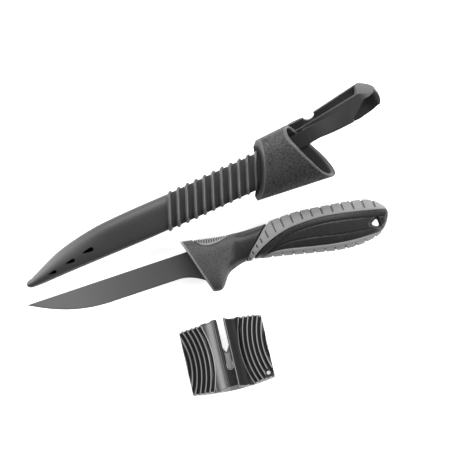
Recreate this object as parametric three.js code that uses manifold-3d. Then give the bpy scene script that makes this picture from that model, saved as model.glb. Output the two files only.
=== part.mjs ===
// A fishing knife with its sheath and its pocket sharpener, laid out side by side on a table.
// Millimetres, +Z up. X runs along the sheath from its tip to its mouth.
import * as THREE from "three";
import { mergeVertices } from "three/addons/utils/BufferGeometryUtils.js";
import Module from "manifold-3d";

const wasm = await Module();
wasm.setup();

// Fit between any two pieces that seat on each other
const CLEARANCE = 0.3;

// Blade, seen from the side: X from the tip to the guard, Y up to the spine, 0 at both
const BLADE_LENGTH = 101.6;
const BLADE_HEIGHT = 14.6; // spine to edge along the straight stretch
const BLADE_THICKNESS = 2.2; // at the spine, near the guard
const TIP_THICKNESS = 0.8; // at the spine, at the point
const BELLY_LENGTH = 50; // stretch of curved edge behind the point
const BELLY_POWER = 2.1; // how fast that edge falls from the point
const HEEL_DROP = 6.1; // how far the heel reaches below the straight edge
const HEEL_LENGTH = 16; // stretch over which it drops
const EDGE_BEVEL = 1.2; // height of the sharpened strip
const EDGE_THICKNESS = 0.5; // where that strip starts
const BLADE_SEAT = 10; // full-height blade held inside the guard
const TANG_LENGTH = 92; // guard to the end of the hidden tang
const TANG_HEIGHT = 9;
const TANG_DEPTH = 9; // tang's middle below the spine
const TANG_HOLE = 5; // two holes that the core's pegs fill

// Handle, in the blade's frame
const HANDLE_LENGTH = 125.5;
const GUARD_RISE = 7; // above the spine
const GUARD_DROP = 28.4; // below the spine
const GUARD_FOOT = 15; // where the guard's flat underside ends
const GUARD_LEAN = 15.5; // degrees, its front face from upright
const GUARD_THICKNESS = 20;
const NECK_AT = 34; // slimmest place behind the guard
const NECK_DROP = 17.5;
const NECK_THICKNESS = 17.5;
const SWELL_AT = 101; // fullest place
const SWELL_DROP = 29.5;
const SWELL_THICKNESS = 23;
const BUTT_THICKNESS = 17;
const BUTT_ROUND = 1.6;
const SECTION_SQUARENESS = 2.5; // 2 is an ellipse, more is squarer
const GRIP_THICKNESS = 3;
const GRIP_PROUD = 0.6; // soft grips above the hard core
const GRIP_GROOVES = 10;
const GROOVE_LEAN = 5; // degrees
const GRIP_GROOVE_WIDTH = 1.1;
const GRIP_GROOVE_DEPTH = 0.9;
const NOTCHES = 11;
const NOTCH_HEIGHT = 2.4;
const THUMB_GROOVES = 10;
const THUMB_GROOVE_WIDTH = 0.8;
const FLUTE_WIDTH = 1.4;
const FLUTE_DEPTH = 0.8;
const LANYARD_HOLE = 4.6; // across the rounded triangle
const LANYARD_RECESS = 8.4;
const LANYARD_RECESS_DEPTH = 1.6;

// Sheath, in its own frame: X from the scabbard's tip to the mouth, Y to the cutting edge's side
const SCABBARD_LENGTH = 170; // tip to the floor of the guard's pocket
const SCABBARD_TOP = 13.9; // edge's side, between the ribs
const SCABBARD_BELLY = 14.9; // edge's side, at the blade's belly
const SCABBARD_BOTTOM = 7; // spine's side
const SCABBARD_THICKNESS = 10.8;
const SCABBARD_WALL = 1.7;
const RIB_FIRST = 96.5; // last ribs end before the collar
const RIB_PITCH = 5.6;
const RIB_COUNT = 11;
const RIB_HEIGHT = 1.3;
const RIB_LEAN = 0.43; // ribs lean this far along for each millimetre up
const DRAIN_FIRST = 17;
const DRAIN_STEP = 13;
const DRAIN_COUNT = 3;
const DRAIN_WIDTH = 2.4; // first slot, and each next is larger
const DRAIN_GROWTH = 1.15;
const COLLAR_OVERLAP = 14; // scabbard held inside the collar
const COLLAR_LENGTH = 60; // before the slanting mouth is cut
const COLLAR_TOP = 21;
const COLLAR_DROP_FRONT = 12.7;
const COLLAR_DROP_MOUTH = 20;
const COLLAR_THICKNESS_FRONT = 19;
const COLLAR_THICKNESS_MOUTH = 26;
const COLLAR_WALL = 2.4;
const COLLAR_SHOULDER = 4.2;
const POCKET_DEPTH = 20; // the pocket's floor to the rim's middle
const MOUTH_SLANT = 0.25; // back wall stands this much longer for each millimetre of thickness

// Belt clip, on the collar's back
const CLIP_WIDTH = 15.2; // at the bend
const CLIP_RIM_WIDTH = 9.7; // where it leaves the collar's rim
const CLIP_THICKNESS = 3;
const CLIP_ACROSS = 13.5; // its middle, towards the cutting edge's side
const CLIP_ROLL = 18; // degrees, following the collar's round back
const CLIP_ROOT = 15; // stretch that lies on the collar
const CLIP_REACH = 45; // rim to the middle of the end bend
const BELT_GAP = 15; // between the legs at the bend
const CLIP_PINCH = 6.5; // degrees, the rear leg leans back to the front one
const CLIP_LEG = 44; // rear leg's straight stretch
const LOW_CORNER = 4; // round corners of the bend
const HIGH_CORNER = 11;
const WEB_WIDTH = 5.4; // closes the bend on its spreading side
const WEB_RUN = 2;
const OPENING_RUN = 9.5; // slanting opening in the front leg beside the web
const LOBE_RADIUS = 2.6; // bulb at the rear leg's end
const LOBE_SPREAD = 1.5; // how much wider it is than the leg
const NECK_LENGTH = 6.5;
const NECK_CUT = 2;
const TONGUE_THICKNESS = 1.8; // inside the collar's wall
const TONGUE_WIDTH = 5;
const TONGUE_LENGTH = 8;

// Sharpener, in its own frame: X across, Y up to the open end of the slot, lying on its back
const SHARPENER_WIDTH = 51.2;
const SHARPENER_HEIGHT = 39.2; // at its corners
const SHARPENER_CROWN = 3; // ends bulge by this at the middle
const SHARPENER_THICKNESS = 19;
const SHELL_SPLIT = 8; // height of the joint between the shells
const VALLEY_DEPTH = 5.5; // finger hollow beside the slot
const VALLEY_REACH = 12; // from the middle to the first rib
const CHANNEL_WIDTH = 6.4; // shallow run-in along the slot
const CHANNEL_DEPTH = 1.3;
const SLOT_WIDTH = 4;
const SLOT_FLOOR = 9.2; // below the middle
const SHELL_RIBS = 5;
const SHELL_RIB_GROOVE = 1.7;
const SHELL_RIB_DEPTH = 1.4;
const SHELL_RIB_RADIUS = 44;
const PLATE_WIDTH = 5;
const PLATE_LENGTH = 11;
const PLATE_THICKNESS = 1.6;
const PLATE_LEAN = 30; // degrees
const NOTCH_FLOOR = 1.9; // where the crossed plates meet, above the middle
const SCREW_SPREAD = 16;
const SCREW_DROP = 10;
const SCREW_HEAD = 5;
const SCREW_HEAD_HEIGHT = 2;
const SCREW_SHANK = 2.4;
const SCREW_LENGTH = 13;
const EYELET = 2.4;

// Places on the table, from the middle of the layout
const KNIFE_PLACE = [-23.3, 21.5];
const KNIFE_HEADING = -6.5;
const SHEATH_PLACE = [-119.2, 44.1];
const SHARPENER_PLACE = [-26.4, -46.1];
const SHARPENER_HEADING = -12.1;

// Fineness of the round forms
const HANDLE_STEPS = 28;
const HANDLE_SIDES = 18;
const BED_STEPS = 12; // hidden beds under the soft grips
const SHEATH_SIDES = 16;
const CAVITY_STEPS = 10;
const CURVE_STEPS = 3;
const ROUND_SIDES = 20;
const THROUGH = 60; // longer than any piece is thick

const { lerp, smoothstep, degToRad } = THREE.MathUtils;

// Solids from three.js geometry

function solid(geometry) {
  geometry.deleteAttribute("normal");
  geometry.deleteAttribute("uv");
  const merged = mergeVertices(geometry, 1e-4);
  return new wasm.Manifold(
    new wasm.Mesh({
      numProp: 3,
      vertProperties: merged.attributes.position.array,
      triVerts: new Uint32Array(merged.index.array),
    }),
  );
}

function meshOf(name, body, material) {
  const { vertProperties, triVerts } = body.getMesh();
  const geometry = new THREE.BufferGeometry();
  geometry.setAttribute("position", new THREE.BufferAttribute(vertProperties, 3));
  geometry.setIndex(new THREE.BufferAttribute(triVerts, 1));
  geometry.computeVertexNormals();
  const mesh = new THREE.Mesh(geometry, material);
  mesh.name = name;
  return mesh;
}

// A closed skin over rings of equally many points, each ring convex
function loft(rings) {
  const sides = rings[0].length;
  const points = rings.flat();
  const faces = [];
  for (let r = 0; r + 1 < rings.length; r++) {
    for (let i = 0; i < sides; i++) {
      const a = r * sides + i;
      const b = r * sides + ((i + 1) % sides);
      faces.push(a, b, b + sides, a, b + sides, a + sides);
    }
  }
  const last = points.length - sides;
  for (let i = 1; i + 1 < sides; i++) {
    faces.push(0, i + 1, i, last, last + i, last + i + 1);
  }
  const geometry = new THREE.BufferGeometry().setFromPoints(points);
  geometry.setIndex(faces);
  return solid(geometry);
}

// A rounded section across X, from bottom to top, leaning along X as it rises
function ring(x, top, bottom, half, sides, squareness, lean = 0) {
  const middle = (top + bottom) / 2;
  const reach = (top - bottom) / 2;
  const round = (v) => Math.sign(v) * Math.abs(v) ** (2 / squareness);
  return Array.from({ length: sides }, (_, i) => {
    const angle = (i / sides) * 2 * Math.PI;
    const y = middle + reach * round(Math.cos(angle));
    return new THREE.Vector3(x + lean * y, y, half * round(Math.sin(angle)));
  });
}

// A smooth line through a few points, read as Y at any X
function smoothLine(points) {
  const curve = new THREE.SplineCurve(points.map(([x, y]) => new THREE.Vector2(x, y)));
  const samples = curve.getPoints(20 * points.length);
  return (x) => {
    let i = 1;
    while (i < samples.length - 1 && samples[i].x < x) i++;
    return THREE.MathUtils.mapLinear(x, samples[i - 1].x, samples[i].x, samples[i - 1].y, samples[i].y);
  };
}

const vectors = (points) => points.map(([x, y]) => new THREE.Vector2(x, y));

function extruded(shape, depth) {
  return new THREE.ExtrudeGeometry(shape, { depth, bevelEnabled: false, curveSegments: CURVE_STEPS });
}

// An outline in X and Y, raised from one height to another
function upright(shape, low, high) {
  return solid(extruded(shape, high - low).translate(0, 0, low));
}

const through = (shape) => upright(shape, -THROUGH / 2, THROUGH / 2);

// An outline in X and Z, drawn out along Y on both sides of the middle
function crosswise(shape, width) {
  return solid(extruded(shape, width).rotateX(Math.PI / 2).translate(0, width / 2, 0));
}

function block(sizes, place, turn = 0) {
  return solid(new THREE.BoxGeometry(...sizes).rotateZ(turn).translate(...place));
}

// A round bar along Z
function bar(diameter, low, high, x, y) {
  const geometry = new THREE.CylinderGeometry(diameter / 2, diameter / 2, high - low, ROUND_SIDES);
  return solid(geometry.rotateX(Math.PI / 2).translate(x, y, (low + high) / 2));
}

// A triangle with round corners, its point towards -X
function roundedTriangle(across, x, y) {
  const corner = across * 0.24;
  const shape = new THREE.Shape();
  for (let i = 0; i < 3; i++) {
    const angle = Math.PI - (2 * Math.PI * i) / 3;
    const reach = across / 2 - corner;
    const cx = x + reach * Math.cos(angle);
    const cy = y + reach * Math.sin(angle);
    shape.absarc(cx, cy, corner, angle + Math.PI / 3, angle - Math.PI / 3, true);
  }
  return shape;
}

const joined = (solids) => solids.reduce((a, b) => a.add(b));

// Finishes
const finish = (color, roughness, metalness = 0) => new THREE.MeshStandardMaterial({ color, roughness, metalness });
const coatedSteel = finish(0x565656, 0.42, 0.8);
const blackPlastic = finish(0x1b1b1c, 0.38);
const softGrip = finish(0x8e8e8e, 0.75);
const sheathPlastic = finish(0x38393a, 0.5);
const grainedPlastic = finish(0x2e2e2f, 0.65);
const shellPlastic = finish(0x161616, 0.35);
const holderPlastic = finish(0x8a8a8a, 0.5);
const carbide = finish(0x9a9a98, 0.3, 0.9);
const screwSteel = finish(0x8c8c8c, 0.35, 0.9);

// Blade

function edgeLine(x) {
  const fromTip = Math.min((x + BLADE_LENGTH) / BELLY_LENGTH, 1);
  const heel = THREE.MathUtils.clamp((x + HEEL_LENGTH - HEEL_LENGTH * 0.44) / HEEL_LENGTH, 0, 1);
  return -BLADE_HEIGHT * (1 - (1 - fromTip) ** BELLY_POWER) - HEEL_DROP * heel ** 2;
}

// The blade, or with grow the room that it needs in the handle
function bladeBody(grow) {
  const steps = 30;
  const rings = [];
  for (let i = 0; i <= steps; i++) {
    const x = lerp(-BLADE_LENGTH, BLADE_SEAT + grow, (i / steps) ** 1.3);
    const share = (x + BLADE_LENGTH) / BLADE_LENGTH;
    const edge = Math.min(edgeLine(x), -0.4) - grow;
    const half = lerp(TIP_THICKNESS, BLADE_THICKNESS, Math.min(share * 1.6, 1)) / 2 + grow;
    const bevel = Math.min(EDGE_BEVEL, -edge / 2);
    const bevelHalf = Math.min(EDGE_THICKNESS / 2 + grow, half);
    rings.push([
      new THREE.Vector3(x, grow, -half),
      new THREE.Vector3(x, grow, half),
      new THREE.Vector3(x, edge + bevel, bevelHalf),
      new THREE.Vector3(x, edge, 0),
      new THREE.Vector3(x, edge + bevel, -bevelHalf),
    ]);
  }
  const tangStart = BLADE_SEAT / 2;
  const tangLength = TANG_LENGTH + grow - tangStart;
  const tang = block(
    [tangLength, TANG_HEIGHT + 2 * grow, BLADE_THICKNESS + 2 * grow],
    [tangStart + tangLength / 2, -TANG_DEPTH, 0],
  );
  return loft(rings).add(tang);
}

const tangHolesAt = [0.42, 0.84].map((share) => share * TANG_LENGTH);
const tangPlugs = (diameter) => joined(tangHolesAt.map((x) => bar(diameter, -THROUGH / 8, THROUGH / 8, x, -TANG_DEPTH)));

// Handle: its outlines, its section and the regions that the soft grips cover

// A place on the handle, from its shares of the length and of the swell's depth
const onHandle = ([along, up]) => [along * HANDLE_LENGTH, up * SWELL_DROP];

const handleTop = smoothLine([
  [-0.048 * HANDLE_LENGTH, 1.14 * GUARD_RISE],
  [0.064 * HANDLE_LENGTH, 0.79 * GUARD_RISE],
  ...[
    [0.2231, 0.071],
    [0.3825, 0.054],
    [0.5578, 0.071],
    [0.7012, 0.01],
    [0.8486, -0.078],
    [0.9363, -0.183],
    [1, -0.44],
  ].map(onHandle),
]);

const handleBottom = smoothLine([
  [-0.048 * HANDLE_LENGTH, -GUARD_DROP],
  [0.064 * HANDLE_LENGTH, -GUARD_DROP],
  [GUARD_FOOT, -GUARD_DROP],
  [1.4 * GUARD_FOOT, -0.754 * GUARD_DROP],
  [1.73 * GUARD_FOOT, -1.074 * NECK_DROP],
  [NECK_AT, -NECK_DROP],
  [1.47 * NECK_AT, -1.126 * NECK_DROP],
  [0.743 * SWELL_AT, -0.861 * SWELL_DROP],
  [0.871 * SWELL_AT, -0.956 * SWELL_DROP],
  [SWELL_AT, -SWELL_DROP],
  [0.9 * HANDLE_LENGTH, -0.952 * SWELL_DROP],
  [0.9434 * HANDLE_LENGTH, -0.878 * SWELL_DROP],
  [0.9721 * HANDLE_LENGTH, -0.769 * SWELL_DROP],
  [HANDLE_LENGTH, -0.58 * SWELL_DROP],
]);

const handleHalf = smoothLine([
  [-0.048 * HANDLE_LENGTH, GUARD_THICKNESS / 2],
  [GUARD_FOOT, GUARD_THICKNESS / 2],
  [NECK_AT, NECK_THICKNESS / 2],
  [0.518 * HANDLE_LENGTH, 0.265 * (NECK_THICKNESS + SWELL_THICKNESS)],
  [0.94 * SWELL_AT, SWELL_THICKNESS / 2],
  [HANDLE_LENGTH, BUTT_THICKNESS / 2],
]);

// The handle's full form, drawn in by an inset that may change along it
function handleBody(insetAt, steps = HANDLE_STEPS) {
  const rings = [];
  const handleRing = (x, inset) =>
    ring(
      x,
      handleTop(x) - inset,
      handleBottom(x) + inset,
      handleHalf(x) - inset,
      HANDLE_SIDES,
      SECTION_SQUARENESS,
    );
  const roundFrom = HANDLE_LENGTH - insetAt(HANDLE_LENGTH) - BUTT_ROUND;
  for (let i = 0; i <= steps; i++) {
    const x = lerp(-0.04 * HANDLE_LENGTH, roundFrom, i / steps);
    rings.push(handleRing(x, insetAt(x)));
  }
  for (const degrees of [30, 55, 75]) {
    const angle = degToRad(degrees);
    const x = roundFrom + BUTT_ROUND * Math.sin(angle);
    rings.push(handleRing(x, insetAt(x) + BUTT_ROUND * (1 - Math.cos(angle))));
  }
  return loft(rings);
}

const handleInset = (inset) => handleBody(() => inset);
const handleBed = (inset) => handleBody(() => inset, BED_STEPS);

const upperGripEdge = [
  [0.302, -0.61],
  [0.3618, -0.417],
  [0.4502, -0.254],
  [0.5458, -0.169],
  [0.6375, -0.156],
  [0.745, -0.217],
  [0.8526, -0.312],
  [1.0239, -0.481],
].map(onHandle);

const upperGripFront = [
  [0.4462, 0.081],
  [0.3888, -0.071],
  [0.3227, -0.332],
  [0.2733, -0.597],
].map(onHandle);

function upperGripRegion(grow) {
  const front = upperGripFront.map(([x, y]) => [x - grow, y]);
  const edge = upperGripEdge.map(([x, y]) => [x, y - grow]);
  const under = -1.2 * NECK_DROP;
  const shape = new THREE.Shape();
  shape.moveTo(edge.at(-1)[0], 2 * GUARD_RISE);
  shape.lineTo(front[0][0] + GUARD_RISE / 3, 2 * GUARD_RISE);
  shape.lineTo(...front[0]);
  shape.splineThru(vectors(front.slice(1)));
  shape.lineTo(front.at(-1)[0] - GUARD_RISE / 10, under);
  shape.lineTo(edge[0][0] - GUARD_RISE / 5, under);
  shape.splineThru(vectors(edge));
  return shape;
}

const lowerGripEdge = [
  [0.3267, -0.678],
  [0.3426, -0.624],
  [0.4159, -0.59],
  [0.4884, -0.631],
  [0.5936, -0.732],
  [0.6972, -0.82],
  [0.8072, -0.878],
  [0.9402, -0.892],
].map(onHandle);

function lowerGripRegion(grow) {
  const edge = lowerGripEdge.map(([x, y]) => [x, y + grow]);
  edge[0][0] -= grow;
  edge.at(-1)[0] += grow;
  const shape = new THREE.Shape();
  shape.moveTo(edge.at(-1)[0], -1.2 * SWELL_DROP);
  shape.lineTo(edge[0][0], -1.2 * SWELL_DROP);
  shape.lineTo(...edge[0]);
  shape.splineThru(vectors(edge.slice(1)));
  return shape;
}

const thumbRestEdge = [
  [0.0598, 0.176],
  [0.0837, 0.061],
  [0.1235, -0.007],
  [0.1753, 0.003],
  [0.2343, 0.068],
].map(onHandle);

function thumbRestRegion(grow) {
  const edge = thumbRestEdge.map(([x, y]) => [x, y - grow]);
  edge[0][0] -= grow;
  edge.at(-1)[0] += grow;
  const shape = new THREE.Shape();
  shape.moveTo(edge.at(-1)[0], 2 * GUARD_RISE);
  shape.lineTo(edge[0][0] - GUARD_RISE / 7, 2 * GUARD_RISE);
  shape.lineTo(...edge[0]);
  shape.splineThru(vectors(edge.slice(1)));
  return shape;
}

// Slabs across the handle, each from above the top line down to a given depth
function topSlabs(count, from, to, width, depthAt, lean) {
  const slabs = [];
  for (let i = 0; i < count; i++) {
    const x = lerp(from, to, i / (count - 1));
    const depth = depthAt(x);
    slabs.push(block([width, 2 * depth, THROUGH], [x, handleTop(x), 0], lean));
  }
  return joined(slabs);
}

const upperFlute = [
  [0.3984, -0.515],
  [0.4462, -0.437],
  [0.5227, -0.325],
  [0.655, -0.315],
  [0.8876, -0.492],
].map(onHandle);

const lowerFlute = [
  [0.4143, -0.536],
  [0.5227, -0.495],
  [0.6359, -0.566],
  [0.7809, -0.688],
  [0.8924, -0.759],
].map(onHandle);

// A narrow band beside a line, as wide as a flute
function fluteRegion(points) {
  const above = points.map(([x, y]) => [x, y + FLUTE_WIDTH / 2]);
  const below = points.map(([x, y]) => [x, y - FLUTE_WIDTH / 2]).reverse();
  const shape = new THREE.Shape();
  shape.moveTo(...above[0]);
  shape.splineThru(vectors(above.slice(1)));
  shape.lineTo(...below[0]);
  shape.splineThru(vectors(below.slice(1)));
  return shape;
}

function makeKnife() {
  const full = handleInset(0);
  const gripBed = handleBed(GRIP_THICKNESS);
  const coreBed = handleBed(GRIP_THICKNESS + CLEARANCE);
  const grooveFloor = handleInset(GRIP_GROOVE_DEPTH);
  const fluteFloor = handleInset(GRIP_PROUD + FLUTE_DEPTH);

  const blade = bladeBody(0).subtract(tangPlugs(TANG_HOLE));

  const gripRoom = joined([
    through(upperGripRegion(CLEARANCE)),
    through(lowerGripRegion(CLEARANCE)),
    through(thumbRestRegion(CLEARANCE)),
  ]).subtract(coreBed);
  const frontWaste = block(
    [THROUGH, 2 * THROUGH, THROUGH],
    [-THROUGH / 2 / Math.cos(degToRad(GUARD_LEAN)) + 1.2, 0, 0],
    degToRad(GUARD_LEAN),
  );
  const flutes = joined([
    through(fluteRegion(upperFlute)),
    through(fluteRegion(lowerFlute)),
  ]).subtract(fluteFloor);
  const lanyardX = HANDLE_LENGTH - 9.8;
  const lanyardY = -19.8;
  const lanyardFloor = handleInset(LANYARD_RECESS_DEPTH);
  const lanyard = through(roundedTriangle(LANYARD_HOLE, lanyardX, lanyardY));
  const recess = through(roundedTriangle(LANYARD_RECESS, lanyardX, lanyardY)).subtract(lanyardFloor);
  const core = handleBody((x) => GRIP_PROUD * smoothstep(x, GUARD_FOOT + 10, NECK_AT + 6))
    .subtract(frontWaste)
    .subtract(gripRoom)
    .subtract(flutes)
    .subtract(recess)
    .subtract(lanyard)
    .subtract(bladeBody(CLEARANCE))
    .add(tangPlugs(TANG_HOLE - 2 * CLEARANCE).intersect(coreBed));

  const upperEdge = smoothLine(upperGripEdge);
  const upperGrooves = topSlabs(
    GRIP_GROOVES,
    0.488 * HANDLE_LENGTH,
    0.94 * HANDLE_LENGTH,
    GRIP_GROOVE_WIDTH,
    (x) => 0.72 * (handleTop(x) - upperEdge(x)),
    degToRad(GROOVE_LEAN),
  );
  const upperGrip = full
    .intersect(through(upperGripRegion(0)))
    .subtract(gripBed)
    .subtract(upperGrooves.subtract(grooveFloor));

  const notches = [];
  for (let i = 0; i < NOTCHES; i++) {
    const x = lerp(0.398, 0.9, i / (NOTCHES - 1)) * HANDLE_LENGTH;
    const sizes = [GRIP_GROOVE_WIDTH, 2 * NOTCH_HEIGHT, THROUGH];
    notches.push(block(sizes, [x, handleBottom(x), 0], degToRad(GROOVE_LEAN)));
  }
  const lowerGrip = full
    .intersect(through(lowerGripRegion(0)))
    .subtract(gripBed)
    .subtract(joined(notches).subtract(grooveFloor));

  const thumbGrooves = topSlabs(
    THUMB_GROOVES,
    0.072 * HANDLE_LENGTH,
    0.207 * HANDLE_LENGTH,
    THUMB_GROOVE_WIDTH,
    () => GRIP_THICKNESS,
    degToRad(GROOVE_LEAN),
  );
  const thumbRest = full
    .intersect(through(thumbRestRegion(0)))
    .subtract(gripBed)
    .subtract(thumbGrooves.subtract(grooveFloor));

  const knife = new THREE.Group();
  knife.add(
    meshOf("blade", blade, coatedSteel),
    meshOf("handle_core", core, blackPlastic),
    meshOf("upper_grip", upperGrip, softGrip),
    meshOf("lower_grip", lowerGrip, softGrip),
    meshOf("thumb_rest", thumbRest, softGrip),
  );
  return knife;
}

// Sheath

const scabbardTop = smoothLine([
  [0, 0.047 * SCABBARD_BELLY],
  [0.059 * SCABBARD_LENGTH, 0.315 * SCABBARD_BELLY],
  [0.165 * SCABBARD_LENGTH, 0.732 * SCABBARD_BELLY],
  [0.294 * SCABBARD_LENGTH, 0.96 * SCABBARD_BELLY],
  [0.412 * SCABBARD_LENGTH, SCABBARD_BELLY],
  [0.541 * SCABBARD_LENGTH, 1.03 * SCABBARD_TOP],
  [0.638 * SCABBARD_LENGTH, SCABBARD_TOP],
  [1.06 * SCABBARD_LENGTH, SCABBARD_TOP],
]);

const scabbardBottom = smoothLine([
  [0, -0.1 * SCABBARD_BOTTOM],
  [0.029 * SCABBARD_LENGTH, -0.43 * SCABBARD_BOTTOM],
  [0.176 * SCABBARD_LENGTH, -0.557 * SCABBARD_BOTTOM],
  [0.541 * SCABBARD_LENGTH, -0.857 * SCABBARD_BOTTOM],
  [1.06 * SCABBARD_LENGTH, -SCABBARD_BOTTOM],
]);

const scabbardHalf = smoothLine([
  [0, 0.13 * SCABBARD_THICKNESS],
  [0.059 * SCABBARD_LENGTH, 0.315 * SCABBARD_THICKNESS],
  [0.235 * SCABBARD_LENGTH, 0.454 * SCABBARD_THICKNESS],
  [0.529 * SCABBARD_LENGTH, SCABBARD_THICKNESS / 2],
  [1.06 * SCABBARD_LENGTH, SCABBARD_THICKNESS / 2],
]);

function scabbardRing(along, grow) {
  return ring(
    along,
    scabbardTop(along) + grow,
    scabbardBottom(along) - grow,
    scabbardHalf(along) + grow,
    SHEATH_SIDES,
    2.4,
    RIB_LEAN * smoothstep(along, 0.62 * RIB_FIRST, RIB_FIRST),
  );
}

function makeScabbard() {
  const shares = [0, 0.012, 0.031, 0.062, 0.104, 0.166, 0.249, 0.352, 0.477, 0.622, 0.777, 0.912];
  const rings = shares.map((share) => scabbardRing(share * RIB_FIRST, 0));
  for (let i = 0; i < RIB_COUNT; i++) {
    const crest = RIB_FIRST + i * RIB_PITCH;
    rings.push(scabbardRing(crest - 0.38 * RIB_PITCH, 0));
    rings.push(scabbardRing(crest - 0.16 * RIB_PITCH, RIB_HEIGHT));
    rings.push(scabbardRing(crest + 0.16 * RIB_PITCH, RIB_HEIGHT));
    rings.push(scabbardRing(crest + 0.38 * RIB_PITCH, 0));
  }
  rings.push(scabbardRing(SCABBARD_LENGTH, 0));

  const hollow = [];
  for (let i = 0; i <= CAVITY_STEPS; i++) {
    hollow.push(scabbardRing(lerp(4 * SCABBARD_WALL, SCABBARD_LENGTH + 2, i / CAVITY_STEPS), -SCABBARD_WALL));
  }

  const drains = [];
  for (let i = 0; i < DRAIN_COUNT; i++) {
    const half = (DRAIN_WIDTH / 2) * DRAIN_GROWTH ** i;
    const x = DRAIN_FIRST + i * DRAIN_STEP;
    const slot = new THREE.Shape();
    slot.moveTo(x - 3.4 * half, -1 + i);
    slot.quadraticCurveTo(x - half, -1 + i + half, x + half, -1 + i + half);
    slot.absarc(x + half, -1 + i, half, Math.PI / 2, -Math.PI / 2, true);
    slot.quadraticCurveTo(x - half, -1 + i - half, x - 3.4 * half, -1 + i);
    drains.push(upright(slot, 0, THROUGH / 2));
  }
  return loft(rings).subtract(loft(hollow)).subtract(joined(drains));
}

const collarStart = SCABBARD_LENGTH - COLLAR_OVERLAP;
const mouthAt = SCABBARD_LENGTH + POCKET_DEPTH;
const collarMouthEnd = collarStart + COLLAR_LENGTH;
const collarShare = (along) => (along - collarStart) / COLLAR_LENGTH;
const collarTaper = (COLLAR_THICKNESS_MOUTH - COLLAR_THICKNESS_FRONT) / 2 / COLLAR_LENGTH;

function collarRing(along, inset) {
  const share = collarShare(along);
  return ring(
    along,
    COLLAR_TOP + 1.4 * share - inset,
    -lerp(COLLAR_DROP_FRONT, COLLAR_DROP_MOUTH, share) + inset,
    lerp(COLLAR_THICKNESS_FRONT, COLLAR_THICKNESS_MOUTH, share) / 2 - inset,
    SHEATH_SIDES + 4,
    SECTION_SQUARENESS,
    RIB_LEAN,
  );
}

// Depth of the collar's outside behind the middle plane, at a place along and across it
function collarBack(along, across) {
  const share = collarShare(along - RIB_LEAN * across);
  const top = COLLAR_TOP + 1.4 * share;
  const bottom = -lerp(COLLAR_DROP_FRONT, COLLAR_DROP_MOUTH, share);
  const half = lerp(COLLAR_THICKNESS_FRONT, COLLAR_THICKNESS_MOUTH, share) / 2;
  const off = Math.abs((across - (top + bottom) / 2) / ((top - bottom) / 2));
  return half * (1 - off ** SECTION_SQUARENESS) ** (1 / SECTION_SQUARENESS);
}

// The slanting mouth: across the sheath, and longer at its back wall
const rimLine = [
  [mouthAt - 5.4, COLLAR_TOP + 6],
  [mouthAt - 2.9, 14],
  [mouthAt, 6.3],
  [mouthAt + 4.3, -5],
  [mouthAt + 8.8, -18],
  [mouthAt + 11.5, -COLLAR_DROP_MOUTH - 6],
];

function makeCollar() {
  const shoulder = [0, 0.15, 0.4, 1].map((share) =>
    collarRing(collarStart + COLLAR_SHOULDER * share, COLLAR_SHOULDER * (1 - share) ** 2),
  );
  const straight = [0.25, 0.5, 0.75, 1].map((share) => collarRing(collarStart + COLLAR_LENGTH * share, 0));
  const pocket = [0, 0.5, 1].map((share) => collarRing(lerp(SCABBARD_LENGTH, collarMouthEnd + 2, share), COLLAR_WALL));
  const throat = [collarStart - 2, SCABBARD_LENGTH + 4].map((along) => scabbardRing(along, CLEARANCE));

  const beyond = new THREE.Shape();
  beyond.moveTo(collarMouthEnd + THROUGH, -COLLAR_DROP_MOUTH - 6);
  beyond.lineTo(collarMouthEnd + THROUGH, COLLAR_TOP + 6);
  beyond.lineTo(...rimLine[0]);
  beyond.splineThru(vectors(rimLine.slice(1)));
  const slant = new THREE.Matrix4().makeShear(0, 0, 0, 0, -MOUTH_SLANT, 0);
  const mouthWaste = solid(extruded(beyond, THROUGH).translate(0, 0, -THROUGH / 2).applyMatrix4(slant));

  return loft([...shoulder, ...straight])
    .subtract(loft(pocket))
    .subtract(loft(throat))
    .subtract(mouthWaste);
}

// The clip's own frame: X from the collar's rim, Z from the collar's outside
const bendInner = BELT_GAP / 2;
const bendOuter = bendInner + CLIP_THICKNESS;
const bendMiddle = -CLEARANCE - CLIP_THICKNESS - bendInner;

const clipTip = CLIP_REACH + bendOuter;
const clipLow = -CLIP_WIDTH / 2; // the edge that runs straight
const clipHigh = (x) => clipLow + lerp(CLIP_RIM_WIDTH, CLIP_WIDTH, x / CLIP_REACH); // the edge that spreads

// The clip from the front, with a round corner on each side of its bend
function clipPlan() {
  const plan = new THREE.Shape();
  plan.moveTo(-THROUGH, clipLow);
  plan.lineTo(0, clipLow);
  plan.absarc(clipTip - LOW_CORNER, clipLow + LOW_CORNER, LOW_CORNER, -Math.PI / 2, 0, false);
  plan.absarc(clipTip - HIGH_CORNER, CLIP_WIDTH / 2 - HIGH_CORNER, HIGH_CORNER, 0, Math.PI / 2, false);
  plan.lineTo(0, clipHigh(0));
  plan.lineTo(-THROUGH, clipHigh(0));
  return plan;
}

// The web that fills one half of the bend on its spreading side
function bendWeb(from, to) {
  const radius = bendInner + CLIP_THICKNESS / 2;
  const web = new THREE.Shape();
  web.moveTo(CLIP_REACH - WEB_RUN, bendMiddle + radius * Math.sin(to));
  web.lineTo(CLIP_REACH - WEB_RUN, bendMiddle + radius * Math.sin(from));
  web.absarc(CLIP_REACH, bendMiddle, radius, from, to, false);
  return crosswise(web, WEB_WIDTH).translate(0, (CLIP_WIDTH - WEB_WIDTH) / 2, 0);
}

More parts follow.
